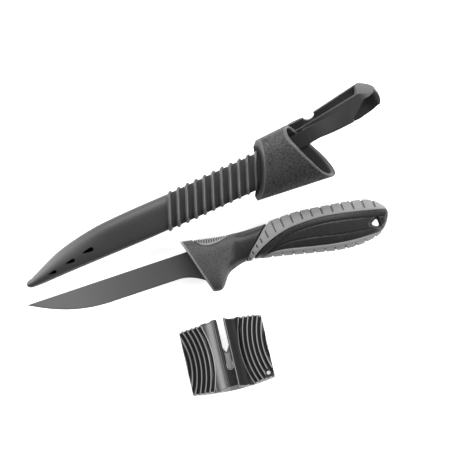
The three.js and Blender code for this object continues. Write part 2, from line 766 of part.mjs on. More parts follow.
function makeFrontLeg() {
  const leg = new THREE.Shape();
  leg.moveTo(-CLIP_ROOT, -CLEARANCE);
  leg.lineTo(-CLIP_ROOT, -CLEARANCE - CLIP_THICKNESS);
  leg.lineTo(CLIP_REACH, -CLEARANCE - CLIP_THICKNESS);
  leg.absarc(CLIP_REACH, bendMiddle, bendInner, Math.PI / 2, 0, true);
  leg.absarc(CLIP_REACH, bendMiddle, bendOuter, 0, Math.PI / 2, false);

  const openFrom = CLIP_WIDTH / 2 - WEB_WIDTH;
  const opening = new THREE.Shape();
  opening.moveTo(CLIP_REACH - OPENING_RUN, clipLow - 1);
  opening.lineTo(clipTip + 1, clipLow - 1);
  opening.lineTo(clipTip + 1, openFrom);
  opening.lineTo(CLIP_REACH + 2, openFrom);
  opening.lineTo(CLIP_REACH - OPENING_RUN, clipLow + 1);

  const tongueLow = COLLAR_WALL + 3 * CLEARANCE + TONGUE_LENGTH * collarTaper;
  const tongueHigh = tongueLow + TONGUE_THICKNESS;
  const bridge = 3 * CLEARANCE;
  const tongue = new THREE.Shape();
  tongue.moveTo(bridge, -CLEARANCE - CLIP_THICKNESS / 2);
  tongue.lineTo(bridge + CLIP_THICKNESS, -CLEARANCE - CLIP_THICKNESS / 2);
  tongue.lineTo(bridge + CLIP_THICKNESS, tongueHigh - TONGUE_THICKNESS / 2);
  tongue.lineTo(bridge + CLIP_THICKNESS / 2, tongueHigh);
  tongue.lineTo(-TONGUE_LENGTH, tongueHigh);
  tongue.lineTo(-TONGUE_LENGTH, tongueLow);
  tongue.lineTo(bridge, tongueLow);

  return crosswise(leg, CLIP_WIDTH)
    .subtract(through(opening))
    .add(bendWeb(0, Math.PI / 2))
    .intersect(through(clipPlan()))
    .add(crosswise(tongue, TONGUE_WIDTH));
}

function makeSpringLeg() {
  const pinch = degToRad(CLIP_PINCH);
  const split = CLEARANCE / bendInner;
  const leave = -Math.PI / 2 - pinch;
  const along = new THREE.Vector2(-Math.cos(pinch), Math.sin(pinch)).multiplyScalar(CLIP_LEG);
  const onBend = (radius) =>
    new THREE.Vector2(CLIP_REACH + radius * Math.cos(leave), bendMiddle + radius * Math.sin(leave));
  const innerEnd = onBend(bendInner).add(along);
  const outerEnd = onBend(bendOuter).add(along);
  const leg = new THREE.Shape();
  leg.absarc(CLIP_REACH, bendMiddle, bendOuter, -split, leave, true);
  leg.lineTo(outerEnd.x, outerEnd.y);
  leg.lineTo(innerEnd.x, innerEnd.y);
  leg.absarc(CLIP_REACH, bendMiddle, bendInner, leave, -split, false);

  const end = innerEnd.add(outerEnd).multiplyScalar(0.5);
  const bulbY = end.y + LOBE_RADIUS - CLIP_THICKNESS / 2;
  const bulb = new THREE.Shape();
  bulb.absarc(end.x, bulbY, LOBE_RADIUS, 0, Math.PI, false);
  bulb.absarc(end.x, bulbY, LOBE_RADIUS, Math.PI, 2 * Math.PI, false);
  const bulbWidth = clipHigh(end.x) - clipLow + LOBE_SPREAD;

  const neckX = end.x + LOBE_RADIUS + NECK_LENGTH / 2;
  const neckCuts = [clipLow, clipHigh(neckX)].map((y) => block([NECK_LENGTH, 2 * NECK_CUT, THROUGH], [neckX, y, 0]));
  return crosswise(leg, CLIP_WIDTH)
    .add(bendWeb(-Math.PI / 2, -split))
    .intersect(through(clipPlan()))
    .subtract(joined(neckCuts))
    .add(crosswise(bulb, bulbWidth).translate(0, clipLow + bulbWidth / 2, 0));
}

// The turn about Y that brings both the scabbard's tip and the clip down to the table
function restingPitch(sheath) {
  const lowest = (pitch) => {
    sheath.rotation.y = -pitch;
    sheath.updateMatrixWorld(true);
    const tip = new THREE.Box3().setFromObject(sheath.getObjectByName("scabbard"), true);
    const leg = new THREE.Box3().setFromObject(sheath.getObjectByName("clip_spring_leg"), true);
    return [tip.min.z, leg.min.z];
  };
  let flat = 0;
  let steep = degToRad(20);
  for (let i = 0; i < 24; i++) {
    const pitch = (flat + steep) / 2;
    const [tip, leg] = lowest(pitch);
    if (tip > leg) flat = pitch;
    else steep = pitch;
  }
  return (flat + steep) / 2;
}

function makeSheath() {
  const clip = new THREE.Group();
  const rimX = mouthAt - 2.6 + MOUTH_SLANT * (COLLAR_THICKNESS_MOUTH / 2);
  clip.position.set(rimX, CLIP_ACROSS, -collarBack(rimX, CLIP_ACROSS));
  clip.rotation.x = degToRad(CLIP_ROLL);
  clip.add(
    meshOf("belt_clip", makeFrontLeg(), sheathPlastic),
    meshOf("clip_spring_leg", makeSpringLeg(), sheathPlastic),
  );

  const sheath = new THREE.Group();
  sheath.add(
    meshOf("scabbard", makeScabbard(), sheathPlastic),
    meshOf("collar", makeCollar(), grainedPlastic),
    clip,
  );
  sheath.rotation.y = -restingPitch(sheath);
  return sheath;
}

// Sharpener

// Its outline from above, with bulging ends
function sharpenerOutline() {
  const x = SHARPENER_WIDTH / 2;
  const y = SHARPENER_HEIGHT / 2;
  const shape = new THREE.Shape();
  shape.moveTo(-x, -y);
  shape.quadraticCurveTo(0, -y - SHARPENER_CROWN, x, -y);
  shape.quadraticCurveTo(x + 1, 0, x, y);
  shape.quadraticCurveTo(0, y + 2 * SHARPENER_CROWN, -x, y);
  shape.quadraticCurveTo(-x - 1, 0, -x, -y);
  return shape;
}

// Its section across the slot, with a finger hollow on each side
function sharpenerSection() {
  const x = SHARPENER_WIDTH / 2 + 2;
  const lip = CHANNEL_WIDTH / 2;
  const low = SHARPENER_THICKNESS - VALLEY_DEPTH;
  const shape = new THREE.Shape();
  shape.moveTo(-x, 0);
  shape.lineTo(x, 0);
  shape.lineTo(x, SHARPENER_THICKNESS - 3);
  shape.quadraticCurveTo(x - 3, SHARPENER_THICKNESS, VALLEY_REACH, SHARPENER_THICKNESS);
  shape.quadraticCurveTo(VALLEY_REACH - 3, low, lip, low);
  shape.lineTo(lip, low - CHANNEL_DEPTH);
  shape.lineTo(-lip, low - CHANNEL_DEPTH);
  shape.lineTo(-lip, low);
  shape.quadraticCurveTo(3 - VALLEY_REACH, low, -VALLEY_REACH, SHARPENER_THICKNESS);
  shape.quadraticCurveTo(3 - x, SHARPENER_THICKNESS, -x, SHARPENER_THICKNESS - 3);
  return shape;
}

function slotRegion(half, floor) {
  const shape = new THREE.Shape();
  shape.moveTo(-half, THROUGH);
  shape.lineTo(-half, half - floor);
  shape.absarc(0, half - floor, half, Math.PI, 2 * Math.PI, false);
  shape.lineTo(half, THROUGH);
  return shape;
}

// One of the crossed plates, or with grow its pocket: its inner edge leans out from the notch's floor
function plateBody(side, grow) {
  const lean = degToRad(PLATE_LEAN);
  const middle = new THREE.Vector2(PLATE_WIDTH / 2, 0.5).rotateAround(new THREE.Vector2(), -lean);
  const low = SHELL_SPLIT + (side > 0 ? CLEARANCE : -CLEARANCE - PLATE_THICKNESS);
  return block(
    [PLATE_WIDTH + 2 * grow, PLATE_LENGTH + 2 * grow, PLATE_THICKNESS + 2 * grow],
    [side * middle.x, NOTCH_FLOOR + middle.y, low + PLATE_THICKNESS / 2],
    -side * lean,
  );
}

// Grooves between the ribs of one side, bowed towards the slot
function ribGrooves(side) {
  const pitch = (SHARPENER_WIDTH / 2 - VALLEY_REACH) / SHELL_RIBS;
  const grooves = [];
  for (let i = 0; i < SHELL_RIBS; i++) {
    const outer = SHELL_RIB_RADIUS - i * pitch;
    const centre = side * (VALLEY_REACH + SHELL_RIB_RADIUS);
    const toSlot = side > 0 ? Math.PI : 0;
    const spread = degToRad(35);
    const arc = new THREE.Shape();
    arc.absarc(centre, 0, outer, toSlot - spread, toSlot + spread, false);
    arc.absarc(centre, 0, outer - SHELL_RIB_GROOVE, toSlot + spread, toSlot - spread, true);
    grooves.push(upright(arc, SHARPENER_THICKNESS - SHELL_RIB_DEPTH - 0.25 * i, THROUGH));
  }
  return joined(grooves);
}

const screwPlaces = [-1, 1].map((side) => [side * SCREW_SPREAD, -SCREW_DROP]);

function screwBody([x, y], grow) {
  const head = bar(SCREW_HEAD + 2 * grow, grow ? -1 : CLEARANCE, SCREW_HEAD_HEIGHT + grow, x, y);
  const shank = bar(SCREW_SHANK + 2 * grow, SCREW_HEAD_HEIGHT / 2, SCREW_LENGTH + grow, x, y);
  return head.add(shank);
}

function makeSharpener() {
  const pockets = joined([-1, 1].map((side) => plateBody(side, CLEARANCE)));
  const slot = through(slotRegion(SLOT_WIDTH / 2, SLOT_FLOOR));
  const screwRoom = joined(screwPlaces.map((place) => screwBody(place, CLEARANCE)));
  const eyelet = bar(EYELET, -THROUGH, THROUGH, SHARPENER_WIDTH / 2 - 3.4, 3.6 - SHARPENER_HEIGHT / 2);
  const full = crosswise(sharpenerSection(), 2 * THROUGH)
    .intersect(through(sharpenerOutline()))
    .subtract(slot)
    .subtract(pockets)
    .subtract(screwRoom)
    .subtract(eyelet);
  const frontHalf = block([2 * THROUGH, 2 * THROUGH, THROUGH], [0, 0, SHELL_SPLIT + CLEARANCE / 2 + THROUGH / 2]);
  const backHalf = block([2 * THROUGH, 2 * THROUGH, THROUGH], [0, 0, SHELL_SPLIT - CLEARANCE / 2 - THROUGH / 2]);
  const frontShell = full.intersect(frontHalf).subtract(joined([-1, 1].map(ribGrooves)));
  const backShell = full.intersect(backHalf);

  const holderHalf = SLOT_WIDTH / 2 - CLEARANCE;
  const holderTop = NOTCH_FLOOR - 0.4;
  const holder = upright(
    slotRegion(holderHalf, SLOT_FLOOR - CLEARANCE),
    1,
    SHARPENER_THICKNESS - VALLEY_DEPTH - CHANNEL_DEPTH - 1,
  )
    .subtract(block([THROUGH, 2 * THROUGH, 2 * THROUGH], [0, holderTop + THROUGH, 0]))
    .subtract(pockets);

  const sharpener = new THREE.Group();
  sharpener.add(
    meshOf("front_shell", frontShell, shellPlastic),
    meshOf("back_shell", backShell, shellPlastic),
    meshOf("plate_holder", holder, holderPlastic),
    meshOf("left_sharpening_plate", plateBody(-1, 0), carbide),
    meshOf("right_sharpening_plate", plateBody(1, 0), carbide),
  );
  screwPlaces.forEach((place, i) => sharpener.add(meshOf(`shell_screw_${i + 1}`, screwBody(place, 0), screwSteel)));
  return sharpener;
}

// Layout: each piece lies on the table, and the whole is centred over the origin

function laidDown(group, [x, y], heading) {
  const placed = new THREE.Group();
  placed.add(group);
  placed.rotation.z = degToRad(heading);
  placed.position.set(x, y, -new THREE.Box3().setFromObject(group, true).min.z);
  return placed;
}

const layout = new THREE.Group();
layout.add(
  laidDown(makeKnife(), KNIFE_PLACE, KNIFE_HEADING),
  laidDown(makeSheath(), SHEATH_PLACE, 0),
  laidDown(makeSharpener(), SHARPENER_PLACE, SHARPENER_HEADING),
);
const box = new THREE.Box3().setFromObject(layout, true);
const middle = box.getCenter(new THREE.Vector3());
layout.position.set(-middle.x, -middle.y, -box.min.z);

const set = new THREE.Group();
set.add(layout);

export default set;
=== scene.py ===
"""A fishing knife, its belt-clip sheath and a pull-through pocket sharpener, laid out on a pale table."""

import math
from contextlib import contextmanager

import bmesh
import bpy
import numpy as np
from mathutils import Matrix, Vector
from mathutils.geometry import tessellate_polygon


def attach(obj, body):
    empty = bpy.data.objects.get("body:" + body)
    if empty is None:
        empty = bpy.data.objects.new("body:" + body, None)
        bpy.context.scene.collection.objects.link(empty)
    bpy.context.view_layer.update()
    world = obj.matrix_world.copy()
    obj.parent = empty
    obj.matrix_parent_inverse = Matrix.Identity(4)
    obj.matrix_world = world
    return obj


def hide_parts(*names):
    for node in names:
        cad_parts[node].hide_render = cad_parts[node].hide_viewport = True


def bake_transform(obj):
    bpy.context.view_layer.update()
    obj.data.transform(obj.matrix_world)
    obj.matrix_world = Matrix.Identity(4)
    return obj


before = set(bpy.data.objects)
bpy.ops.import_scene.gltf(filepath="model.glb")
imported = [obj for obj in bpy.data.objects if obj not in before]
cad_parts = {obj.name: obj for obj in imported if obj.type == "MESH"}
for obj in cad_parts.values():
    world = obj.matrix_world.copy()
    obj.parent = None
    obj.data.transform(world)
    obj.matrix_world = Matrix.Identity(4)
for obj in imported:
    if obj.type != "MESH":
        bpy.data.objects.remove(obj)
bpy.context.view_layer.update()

# Where each item lies on the table, in millimetres and degrees
KNIFE = Matrix.Translation((-24.980, 21.123, 10.87)) @ Matrix.Rotation(math.radians(-6.5), 4, "Z")
SHEATH_PITCH = math.radians(-7.675)
SHEATH = Matrix.Translation((-120.880, 43.723, 2.085)) @ Matrix.Rotation(SHEATH_PITCH, 4, "Y")
CLIP = SHEATH @ Matrix.Translation((190.65, 13.5, -10.0)) @ Matrix.Rotation(math.radians(18), 4, "X")
SHARPENER = Matrix.Translation((-28.080, -46.477, 0)) @ Matrix.Rotation(math.radians(-12.1), 4, "Z")

HOME = Matrix.Identity(4)
MM = 0.001

# Lean of the guard's back, where its grain ends and the neck begins
GUARD_BACK_LEAN = 0.62

# The photograph's view: straight down, turned on the table
VIEW_TURN = -25
VIEW_WIDTH = 0.28365
VIEW_MIDDLE = (0.00642, 0.01982)
VIEW_DISTANCE = 6.0


# Drawing aids

def ease(value, low, high):
    share = np.clip((value - low) / (high - low), 0, 1)
    return share * share * (3 - 2 * share)


def smooth_points(points, steps=24):
    """Points along a smooth line through a few given ones."""
    given = np.array(points, float)
    ends = np.vstack([given[0], given, given[-1]])
    t = np.linspace(0, 1, steps, endpoint=False)[:, None]
    runs = []
    for a, b, c, d in zip(ends, ends[1:], ends[2:], ends[3:]):
        leave, arrive = (c - a) / 2, (d - b) / 2
        square = 3 * (c - b) - 2 * leave - arrive
        cube = 2 * (b - c) + leave + arrive
        runs.append(b + leave * t + square * t**2 + cube * t**3)
    return np.vstack([*runs, given[-1]])


def heights(line, x):
    """The height of a line of points at any place along it."""
    return np.interp(x, line[:, 0], line[:, 1])


def smooth_line(points):
    """The smooth line, read as a height at any place along it."""
    samples = smooth_points(points)
    return lambda x: heights(samples, x)


def curve_through(start, control, end, steps=20):
    """A bend from start to end, drawn towards a control point."""
    t = np.linspace(0, 1, steps)[:, None]
    return (1 - t) ** 2 * np.array(start) + 2 * t * (1 - t) * np.array(control) + t**2 * np.array(end)


def off_line(line, x, y):
    """Distance of each point from an open line."""
    best = np.full(np.shape(x), np.inf)
    for (ax, ay), (bx, by) in zip(line, line[1:]):
        dx, dy = bx - ax, by - ay
        share = np.clip(((x - ax) * dx + (y - ay) * dy) / max(dx * dx + dy * dy, 1e-12), 0, 1)
        best = np.minimum(best, (x - ax - share * dx) ** 2 + (y - ay - share * dy) ** 2)
    return np.sqrt(best)


def inside_by(outline, x, y):
    """How far inside a closed outline each point lies, negative outside."""
    closed = np.vstack([outline, outline[:1]])
    inside = np.zeros(np.shape(x), bool)
    for (ax, ay), (bx, by) in zip(closed, closed[1:]):
        if ay != by:
            inside ^= ((ay > y) != (by > y)) & (x < ax + (bx - ax) * (y - ay) / (by - ay))
    return np.where(inside, 1, -1) * off_line(closed, x, y)


def bend_power(value, squareness):
    return np.sign(value) * np.abs(value) ** (2 / squareness)


def full_turn(sides):
    return np.linspace(0, 2 * math.pi, sides, endpoint=False)


def section(turn, high, low, half, squareness):
    """Y and Z of places round a squarish section, by their angle from its top."""
    y = (high + low) / 2 + (high - low) / 2 * bend_power(np.cos(turn), squareness)
    return y, half * bend_power(np.sin(turn), squareness)


def arc_points(cx, cy, radius, start, end, steps):
    turn = np.radians(np.linspace(start, end, steps))
    return np.stack([cx + radius * np.cos(turn), cy + radius * np.sin(turn)], -1)


def circle(cx, cy, radius, steps):
    return arc_points(cx, cy, radius, 0, 360 - 360 / steps, steps)


def rectangle(half_x, half_y):
    return np.array([(-half_x, -half_y), (half_x, -half_y), (half_x, half_y), (-half_x, half_y)])


def turned(points, degrees):
    """Points in a plane, turned about its origin."""
    turn = math.radians(degrees)
    return points @ np.array([(math.cos(turn), math.sin(turn)), (-math.sin(turn), math.cos(turn))])


# Meshes

def laid(points, place):
    """Points of an item in millimetres, laid out on the table in metres."""
    turn = np.array(place)
    return (np.asarray(points, float).reshape(-1, 3) @ turn[:3, :3].T + turn[:3, 3]) * MM


def numbered(rows, columns):
    return np.arange(rows * columns).reshape(rows, columns)


def wall(upper, lower):
    """Faces between two closed loops of points."""
    return np.stack([upper, np.roll(upper, -1), np.roll(lower, -1), lower], -1).tolist()


def sheet_faces(rows, columns):
    n = numbered(rows, columns)
    return np.stack([n[:-1, :-1], n[:-1, 1:], n[1:, 1:], n[1:, :-1]], -1).reshape(-1, 4)


def lofted(rings, loop=False):
    """A skin over rings of points, its ends closed, or its last ring joined to its first."""
    rings = np.asarray(rings, float)
    n = numbered(*rings.shape[:2])
    after = np.roll(n, -1, 0) if loop else n[1:]
    faces = [face for pair in zip(n, after) for face in wall(*pair)]
    points = rings.reshape(-1, 3)
    if loop:
        return points, faces
    first, last = n.size, n.size + 1
    for i, j in zip(n[0].tolist(), np.roll(n[0], -1).tolist()):
        faces += [[first, j, i], [last, int(n[-1, i]), int(n[-1, j])]]
    return np.vstack([points, rings[0].mean(0), rings[-1].mean(0)]), faces


def prism(outline, low, high):
    """An outline in X and Y raised from one height to another."""
    sides = len(outline)
    points = [(x, y, z) for z in (low, high) for x, y in outline]
    faces = []
    for i in range(sides):
        j = (i + 1) % sides
        faces += [[i, j, sides + j], [i, sides + j, sides + i]]
    for a, b, c in tessellate_polygon([[Vector((x, y, 0)) for x, y in outline]]):
        faces += [[a, b, c], [sides + c, sides + b, sides + a]]
    return np.array(points), faces


def crosswise(outline, low, high):
    """An outline in X and Z drawn out along Y from one place to another."""
    points, faces = prism(outline, low, high)
    return points[:, [0, 2, 1]], faces


def sheet_rim(rows, columns):
    """The points round the edge of a sheet, in order."""
    n = numbered(rows, columns)
    return np.concatenate([n[:, 0], n[-1, 1:], n[-2::-1, -1], n[0, -2:0:-1]])


def slab(outer, inner):
    """A closed pad between two sheets of points over the same rows and columns."""
    rows, columns = outer.shape[:2]
    rim = sheet_rim(rows, columns)
    top = sheet_faces(rows, columns)
    under = top[:, ::-1] + rows * columns
    points = np.vstack([outer.reshape(-1, 3), inner.reshape(-1, 3)])
    return points, [*top.tolist(), *under.tolist(), *wall(rim, rim + rows * columns)]


def block_under(outer, foot):
    """A closed block under a sheet of points, down to the edge of a second, level one."""
    rows, columns = outer.shape[:2]
    rim = sheet_rim(rows, columns)
    under = np.arange(len(rim)) + rows * columns
    base = under + len(rim)
    edge, low = outer.reshape(-1, 3)[rim], foot.reshape(-1, 3)[rim]
    below_edge = 0.07
    points = np.vstack([outer.reshape(-1, 3), (1 - below_edge) * edge + below_edge * low, low])
    faces = [*sheet_faces(rows, columns).tolist(), *wall(rim, under), *wall(under, base), base.tolist()]
    return points, faces


@contextmanager
def reworked(mesh):
    """A mesh opened for changes to its points and faces."""
    made = bmesh.new()
    made.from_mesh(mesh)
    yield made
    made.to_mesh(mesh)
    made.free()


def painted(mesh, **paint):
    """Gives a mesh the values that its finish reads at each point."""
    for key, values in paint.items():
        layer = mesh.attributes.new(key, "FLOAT", "POINT")
        layer.data.foreach_set("value", values.astype(np.float32).ravel())


def shown(name, data):
    obj = bpy.data.objects.new(name, data)
    bpy.context.scene.collection.objects.link(obj)
    return obj


def mesh_object(name, solid, place, **paint):
    """A mesh on the table, with any painted values."""
    points, faces = solid
    weld, sliver = 4e-6, 1e-7
    mesh = bpy.data.meshes.new(name)
    mesh.from_pydata(laid(points, place).tolist(), [], faces)
    painted(mesh, **paint)
    with reworked(mesh) as made:
        bmesh.ops.remove_doubles(made, verts=made.verts, dist=weld)
        bmesh.ops.dissolve_degenerate(made, edges=made.edges, dist=sliver)
        bmesh.ops.recalc_face_normals(made, faces=made.faces)
    return shown(name, mesh)


def evaluated(obj):
    """Puts the result of an object's modifiers in its own mesh."""
    mesh = bpy.data.meshes.new_from_object(obj.evaluated_get(bpy.context.evaluated_depsgraph_get()))
    obj.modifiers.clear()
    obj.data = mesh


def settle(obj, place):
    """Lays out a mesh that was built in its own frame."""
    move = place.copy()
    move.translation *= MM
    obj.data.transform(move)


def combine(obj, operation, place, *solids):
    for solid in solids:
        tool = mesh_object("tool", solid, place)
        change = obj.modifiers.new("combine", "BOOLEAN")
        change.operation, change.solver, change.object = operation, "EXACT", tool
        evaluated(obj)
        bpy.data.objects.remove(tool)


def cut(obj, place, *solids):
    combine(obj, "DIFFERENCE", place, *solids)


def rounded(obj, width, segments=3, angle=35):
    """Rounds the sharp edges of a mesh, with its flat faces made whole first."""
    flat = math.radians(0.5)
    with reworked(obj.data) as made:
        bmesh.ops.dissolve_limit(made, angle_limit=flat, verts=made.verts, edges=made.edges)
    change = obj.modifiers.new("round", "BEVEL")
    change.width, change.segments = width * MM, segments
    change.limit_method, change.angle_limit = "ANGLE", math.radians(angle)
    evaluated(obj)


def own_points(obj):
    """The points of an object's mesh, in millimetres."""
    return np.array([v.co for v in obj.data.vertices]) / MM


def worn_edges(obj, width):
    """1 at the points inside rounded edges, where every face is narrower than the width."""
    points = own_points(obj)
    widest = np.zeros(len(points))
    for face in obj.data.polygons:
        corners = np.array(face.vertices)
        longest = np.linalg.norm(points[corners] - points[np.roll(corners, 1)], axis=1).max()
        widest[corners] = np.maximum(widest[corners], face.area / MM**2 / max(longest, 1e-6))
    return np.where(widest < width, 1.0, 0.0)


def dressed(obj, body, slot, finish, *nodes, crease=40):
    """Gives a finished mesh its look and its body, and hides the drawn nodes that it stands for."""
    obj.data.materials.clear()
    obj.data.materials.append(finish)
    obj.data.shade_smooth()
    obj.data.set_sharp_from_angle(angle=math.radians(crease))
    if body:
        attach(obj, body)
    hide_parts(*nodes)


# Finishes

class Socket:
    """A value in a material, open to plain arithmetic."""

    def __init__(self, finish, socket):
        self.finish, self.socket = finish, socket

    def maths(self, operation, first, second):
        return self.finish.node("ShaderNodeMath", {"operation": operation}, {0: first, 1: second})

    def __add__(self, other): return self.maths("ADD", self, other)
    def __sub__(self, other): return self.maths("SUBTRACT", self, other)
    def __rsub__(self, other): return self.maths("SUBTRACT", other, self)
    def __mul__(self, other): return self.maths("MULTIPLY", self, other)

    __radd__, __rmul__ = __add__, __mul__


class Finish:
    """A material built from nodes, over a principled shader."""

    def __init__(self, name):
        self.material = bpy.data.materials.new(name)
        self.material.use_nodes = True
        self.tree = self.material.node_tree
        self.shader = self.tree.nodes["Principled BSDF"]
        self.place = self.node("ShaderNodeTexCoord", out="Object")

    def node(self, kind, settings=(), sockets=(), out=0):
        made = self.tree.nodes.new(kind)
        for key, value in dict(settings).items():
            setattr(made, key, value)
        for key, value in dict(sockets).items():
            self.feed(made.inputs[key], value)
        return Socket(self, made.outputs[out])

    def feed(self, socket, value):
        if isinstance(value, Socket):
            self.tree.links.new(value.socket, socket)
        else:
            socket.default_value = value

    def on(self, place):
        """Object coordinates turned into an item's own frame, still in metres."""
        back = place.inverted()
        spot = [v * MM for v in back.translation]
        inputs = {"Vector": self.place, "Location": spot, "Rotation": back.to_euler()}
        return self.node("ShaderNodeMapping", {}, inputs)

    def stretched(self, vector, scale):
        return self.node("ShaderNodeMapping", {}, {"Vector": vector, "Scale": scale})

    def noise(self, scale, vector=None, detail=4.0):
        """A soft pattern that swings about zero."""
        inputs = {"Vector": vector or self.place, "Scale": scale, "Detail": detail, "Roughness": 0.55}
        return self.node("ShaderNodeTexNoise", {}, inputs) - 0.5

    def cells(self, scale, feature="F1"):
        inputs = {"Vector": self.place, "Scale": scale}
        return self.node("ShaderNodeTexVoronoi", {"feature": feature}, inputs)

    def ramp(self, value, low, high):
        inputs = {"Value": value, "From Min": low, "From Max": high}
        return self.node("ShaderNodeMapRange", {"interpolation_type": "SMOOTHSTEP"}, inputs)

    def axis(self, vector, letter):
        return self.node("ShaderNodeSeparateXYZ", {}, {"Vector": vector}, out=letter)

    def painted(self, *names):
        """Values painted on the mesh, by their names."""
        return [self.node("ShaderNodeAttribute", {"attribute_name": name}, out="Fac") for name in names]

    def bumped(self, height, depth=0.00003, strength=0.4):
        return self.node("ShaderNodeBump", {}, {"Height": height, "Distance": depth, "Strength": strength})

    def wear(self, tone, roughness, **inputs):
        for name, value in {"Base_Color": tone, "Roughness": roughness, **inputs}.items():
            self.feed(self.shader.inputs[name.replace("_", " ")], value)
        return self.material


def coated_steel():
    look = Finish("coated steel")
    spot = look.on(KNIFE)
    along = look.axis(spot, "X")
    lines = look.noise(60, look.stretched(spot, (6, 90, 90)))
    cloud = look.noise(34, spot, 2.0)
    to_tip = look.ramp(along, -0.005, -0.1)
    tone = 0.098 + 0.105 * to_tip + 0.02 * lines + 0.022 * cloud
    skin = look.bumped(lines, 0.00001, 0.35)
    return look.wear(tone, 0.42 + 0.14 * lines, Metallic=0.55, Normal=skin)


def core_plastic():
    look = Finish("black moulded core")
    spot = look.on(KNIFE)
    x, y = look.axis(spot, "X"), look.axis(spot, "Y")
    guard = 1 - look.ramp(x - GUARD_BACK_LEAN * y, 0.0312, 0.0335)
    grain = look.cells(1500)
    fine = look.noise(900)
    scuff = look.ramp(look.noise(240, detail=5.0), 0.06, 0.25)
    groove, worn = look.painted("groove", "worn")
    # Grain on the guard, and a painted highlight along the guard's rounded front edge
    grain_and_highlight = 0.05 * (0.45 - grain) * guard + 0.2 * worn
    rubbed = 0.016 * scuff * (1 - guard)
    # A little painted shade where the core sinks under the pads, along the flutes and in the lanyard dish
    tone = 0.014 + 0.034 * guard + grain_and_highlight + 0.01 * fine + rubbed - 0.008 * groove
    roughness = 0.42 + 0.16 * guard + 0.18 * fine - 0.1 * scuff
    skin = look.bumped(grain * guard + fine * 0.35, 0.00012, 0.7)
    return look.wear(tone, roughness, Specular_IOR_Level=0.34, Normal=skin)


def grip_rubber():
    look = Finish("grey soft grip")
    fine = look.noise(1500)
    cloud = look.noise(90, detail=3.0)
    (groove,) = look.painted("groove")
    # Painted shade in the grooves
    tone = (0.187 + 0.05 * fine + 0.04 * cloud) * (1 - 0.45 * groove)
    return look.wear(tone, 0.74 + 0.12 * fine, Normal=look.bumped(fine, 0.00004, 0.5))


def sheath_plastic():
    look = Finish("satin sheath plastic")
    fine = look.noise(1100)
    cloud = look.noise(40, detail=3.0)
    marks = look.ramp(look.noise(120, look.stretched(look.on(SHEATH), (1, 5, 5))), 0.1, 0.22)
    shade, worn = look.painted("shade", "worn")
    # Painted highlight on the scabbard's upper edge, the rib crests and the clip's edges; painted shade
    # inside, between the ribs and in the clip's bend
    tone = 0.03 + 0.01 * fine + 0.01 * cloud + 0.006 * marks + 0.09 * worn
    roughness = 0.4 + 0.1 * fine - 0.05 * marks + 0.5 * shade
    return look.wear(tone * (1 - 0.9 * shade), roughness, Normal=look.bumped(fine))


def grained_plastic():
    look = Finish("pebble grained collar")
    groove, shade = look.painted("groove", "shade")
    warp = look.noise(500, detail=2.0)
    pebbles = look.cells(1150, "SMOOTH_F1") + 0.3 * warp
    fine = look.noise(1900, detail=3.0)
    rough_skin = look.ramp(groove, 1.0, 0.0)
    height = look.axis(look.on(SHEATH), "Y")
    # Painted shade: darker towards the bottom, and dark in the shoulder's gap and inside the mouth
    painted_shade = shade + 0.4 * look.ramp(height, 0.014, -0.012) * (1 - shade)
    # Smooth bands lose the pebbles and are a little lighter; the strong line round the shoulder is a painted
    # highlight
    tone = 0.026 + 0.075 * rough_skin * (0.5 - pebbles) + 0.03 * groove + 0.008 * fine
    roughness = 0.45 + 0.12 * (pebbles - 0.5) * rough_skin + 0.5 * shade
    skin = look.bumped((1 - pebbles) * rough_skin + fine * 0.1, 0.0003, 0.8)
    return look.wear(tone * (1 - 0.95 * painted_shade), roughness, Normal=skin)


def shell_plastic():
    look = Finish("black sharpener shell")
    fine = look.noise(1000)
    scuff = look.ramp(look.noise(160, detail=5.0), 0.05, 0.25)
    groove, worn = look.painted("groove", "worn")
    # Painted shade in the ridge grooves and over the right hollow; painted highlight on the crests, along the
    # slot's lips and on the lower end face
    tone = (0.018 + 0.008 * fine + 0.012 * scuff) * (1 - 0.6 * groove) + 0.24 * worn
    roughness = 0.3 + 0.12 * fine - 0.04 * scuff + 0.25 * groove
    return look.wear(tone, roughness, Normal=look.bumped(fine))


def holder_plastic():
    look = Finish("grey insert")
    fine = look.noise(1300)
    tone = 0.25 + 0.04 * fine
    return look.wear(tone, 0.5 + 0.1 * fine, Normal=look.bumped(fine))


def ground_metal(name, base):
    look = Finish(name)
    lines = look.noise(300, look.stretched(look.on(SHARPENER), (1, 1, 12)))
    tone = base + 0.12 * lines
    skin = look.bumped(lines, 0.00002)
    return look.wear(tone, 0.34 + 0.16 * lines, Metallic=0.9, Normal=skin)


STEEL = coated_steel()
CORE = core_plastic()
GRIP = grip_rubber()
SCABBARD = sheath_plastic()
COLLAR = grained_plastic()
SHELL = shell_plastic()
HOLDER = holder_plastic()
CARBIDE = ground_metal("ground hard plate", 0.34)
SCREW = ground_metal("screw steel", 0.5)


# Copies in a row, as a node tree

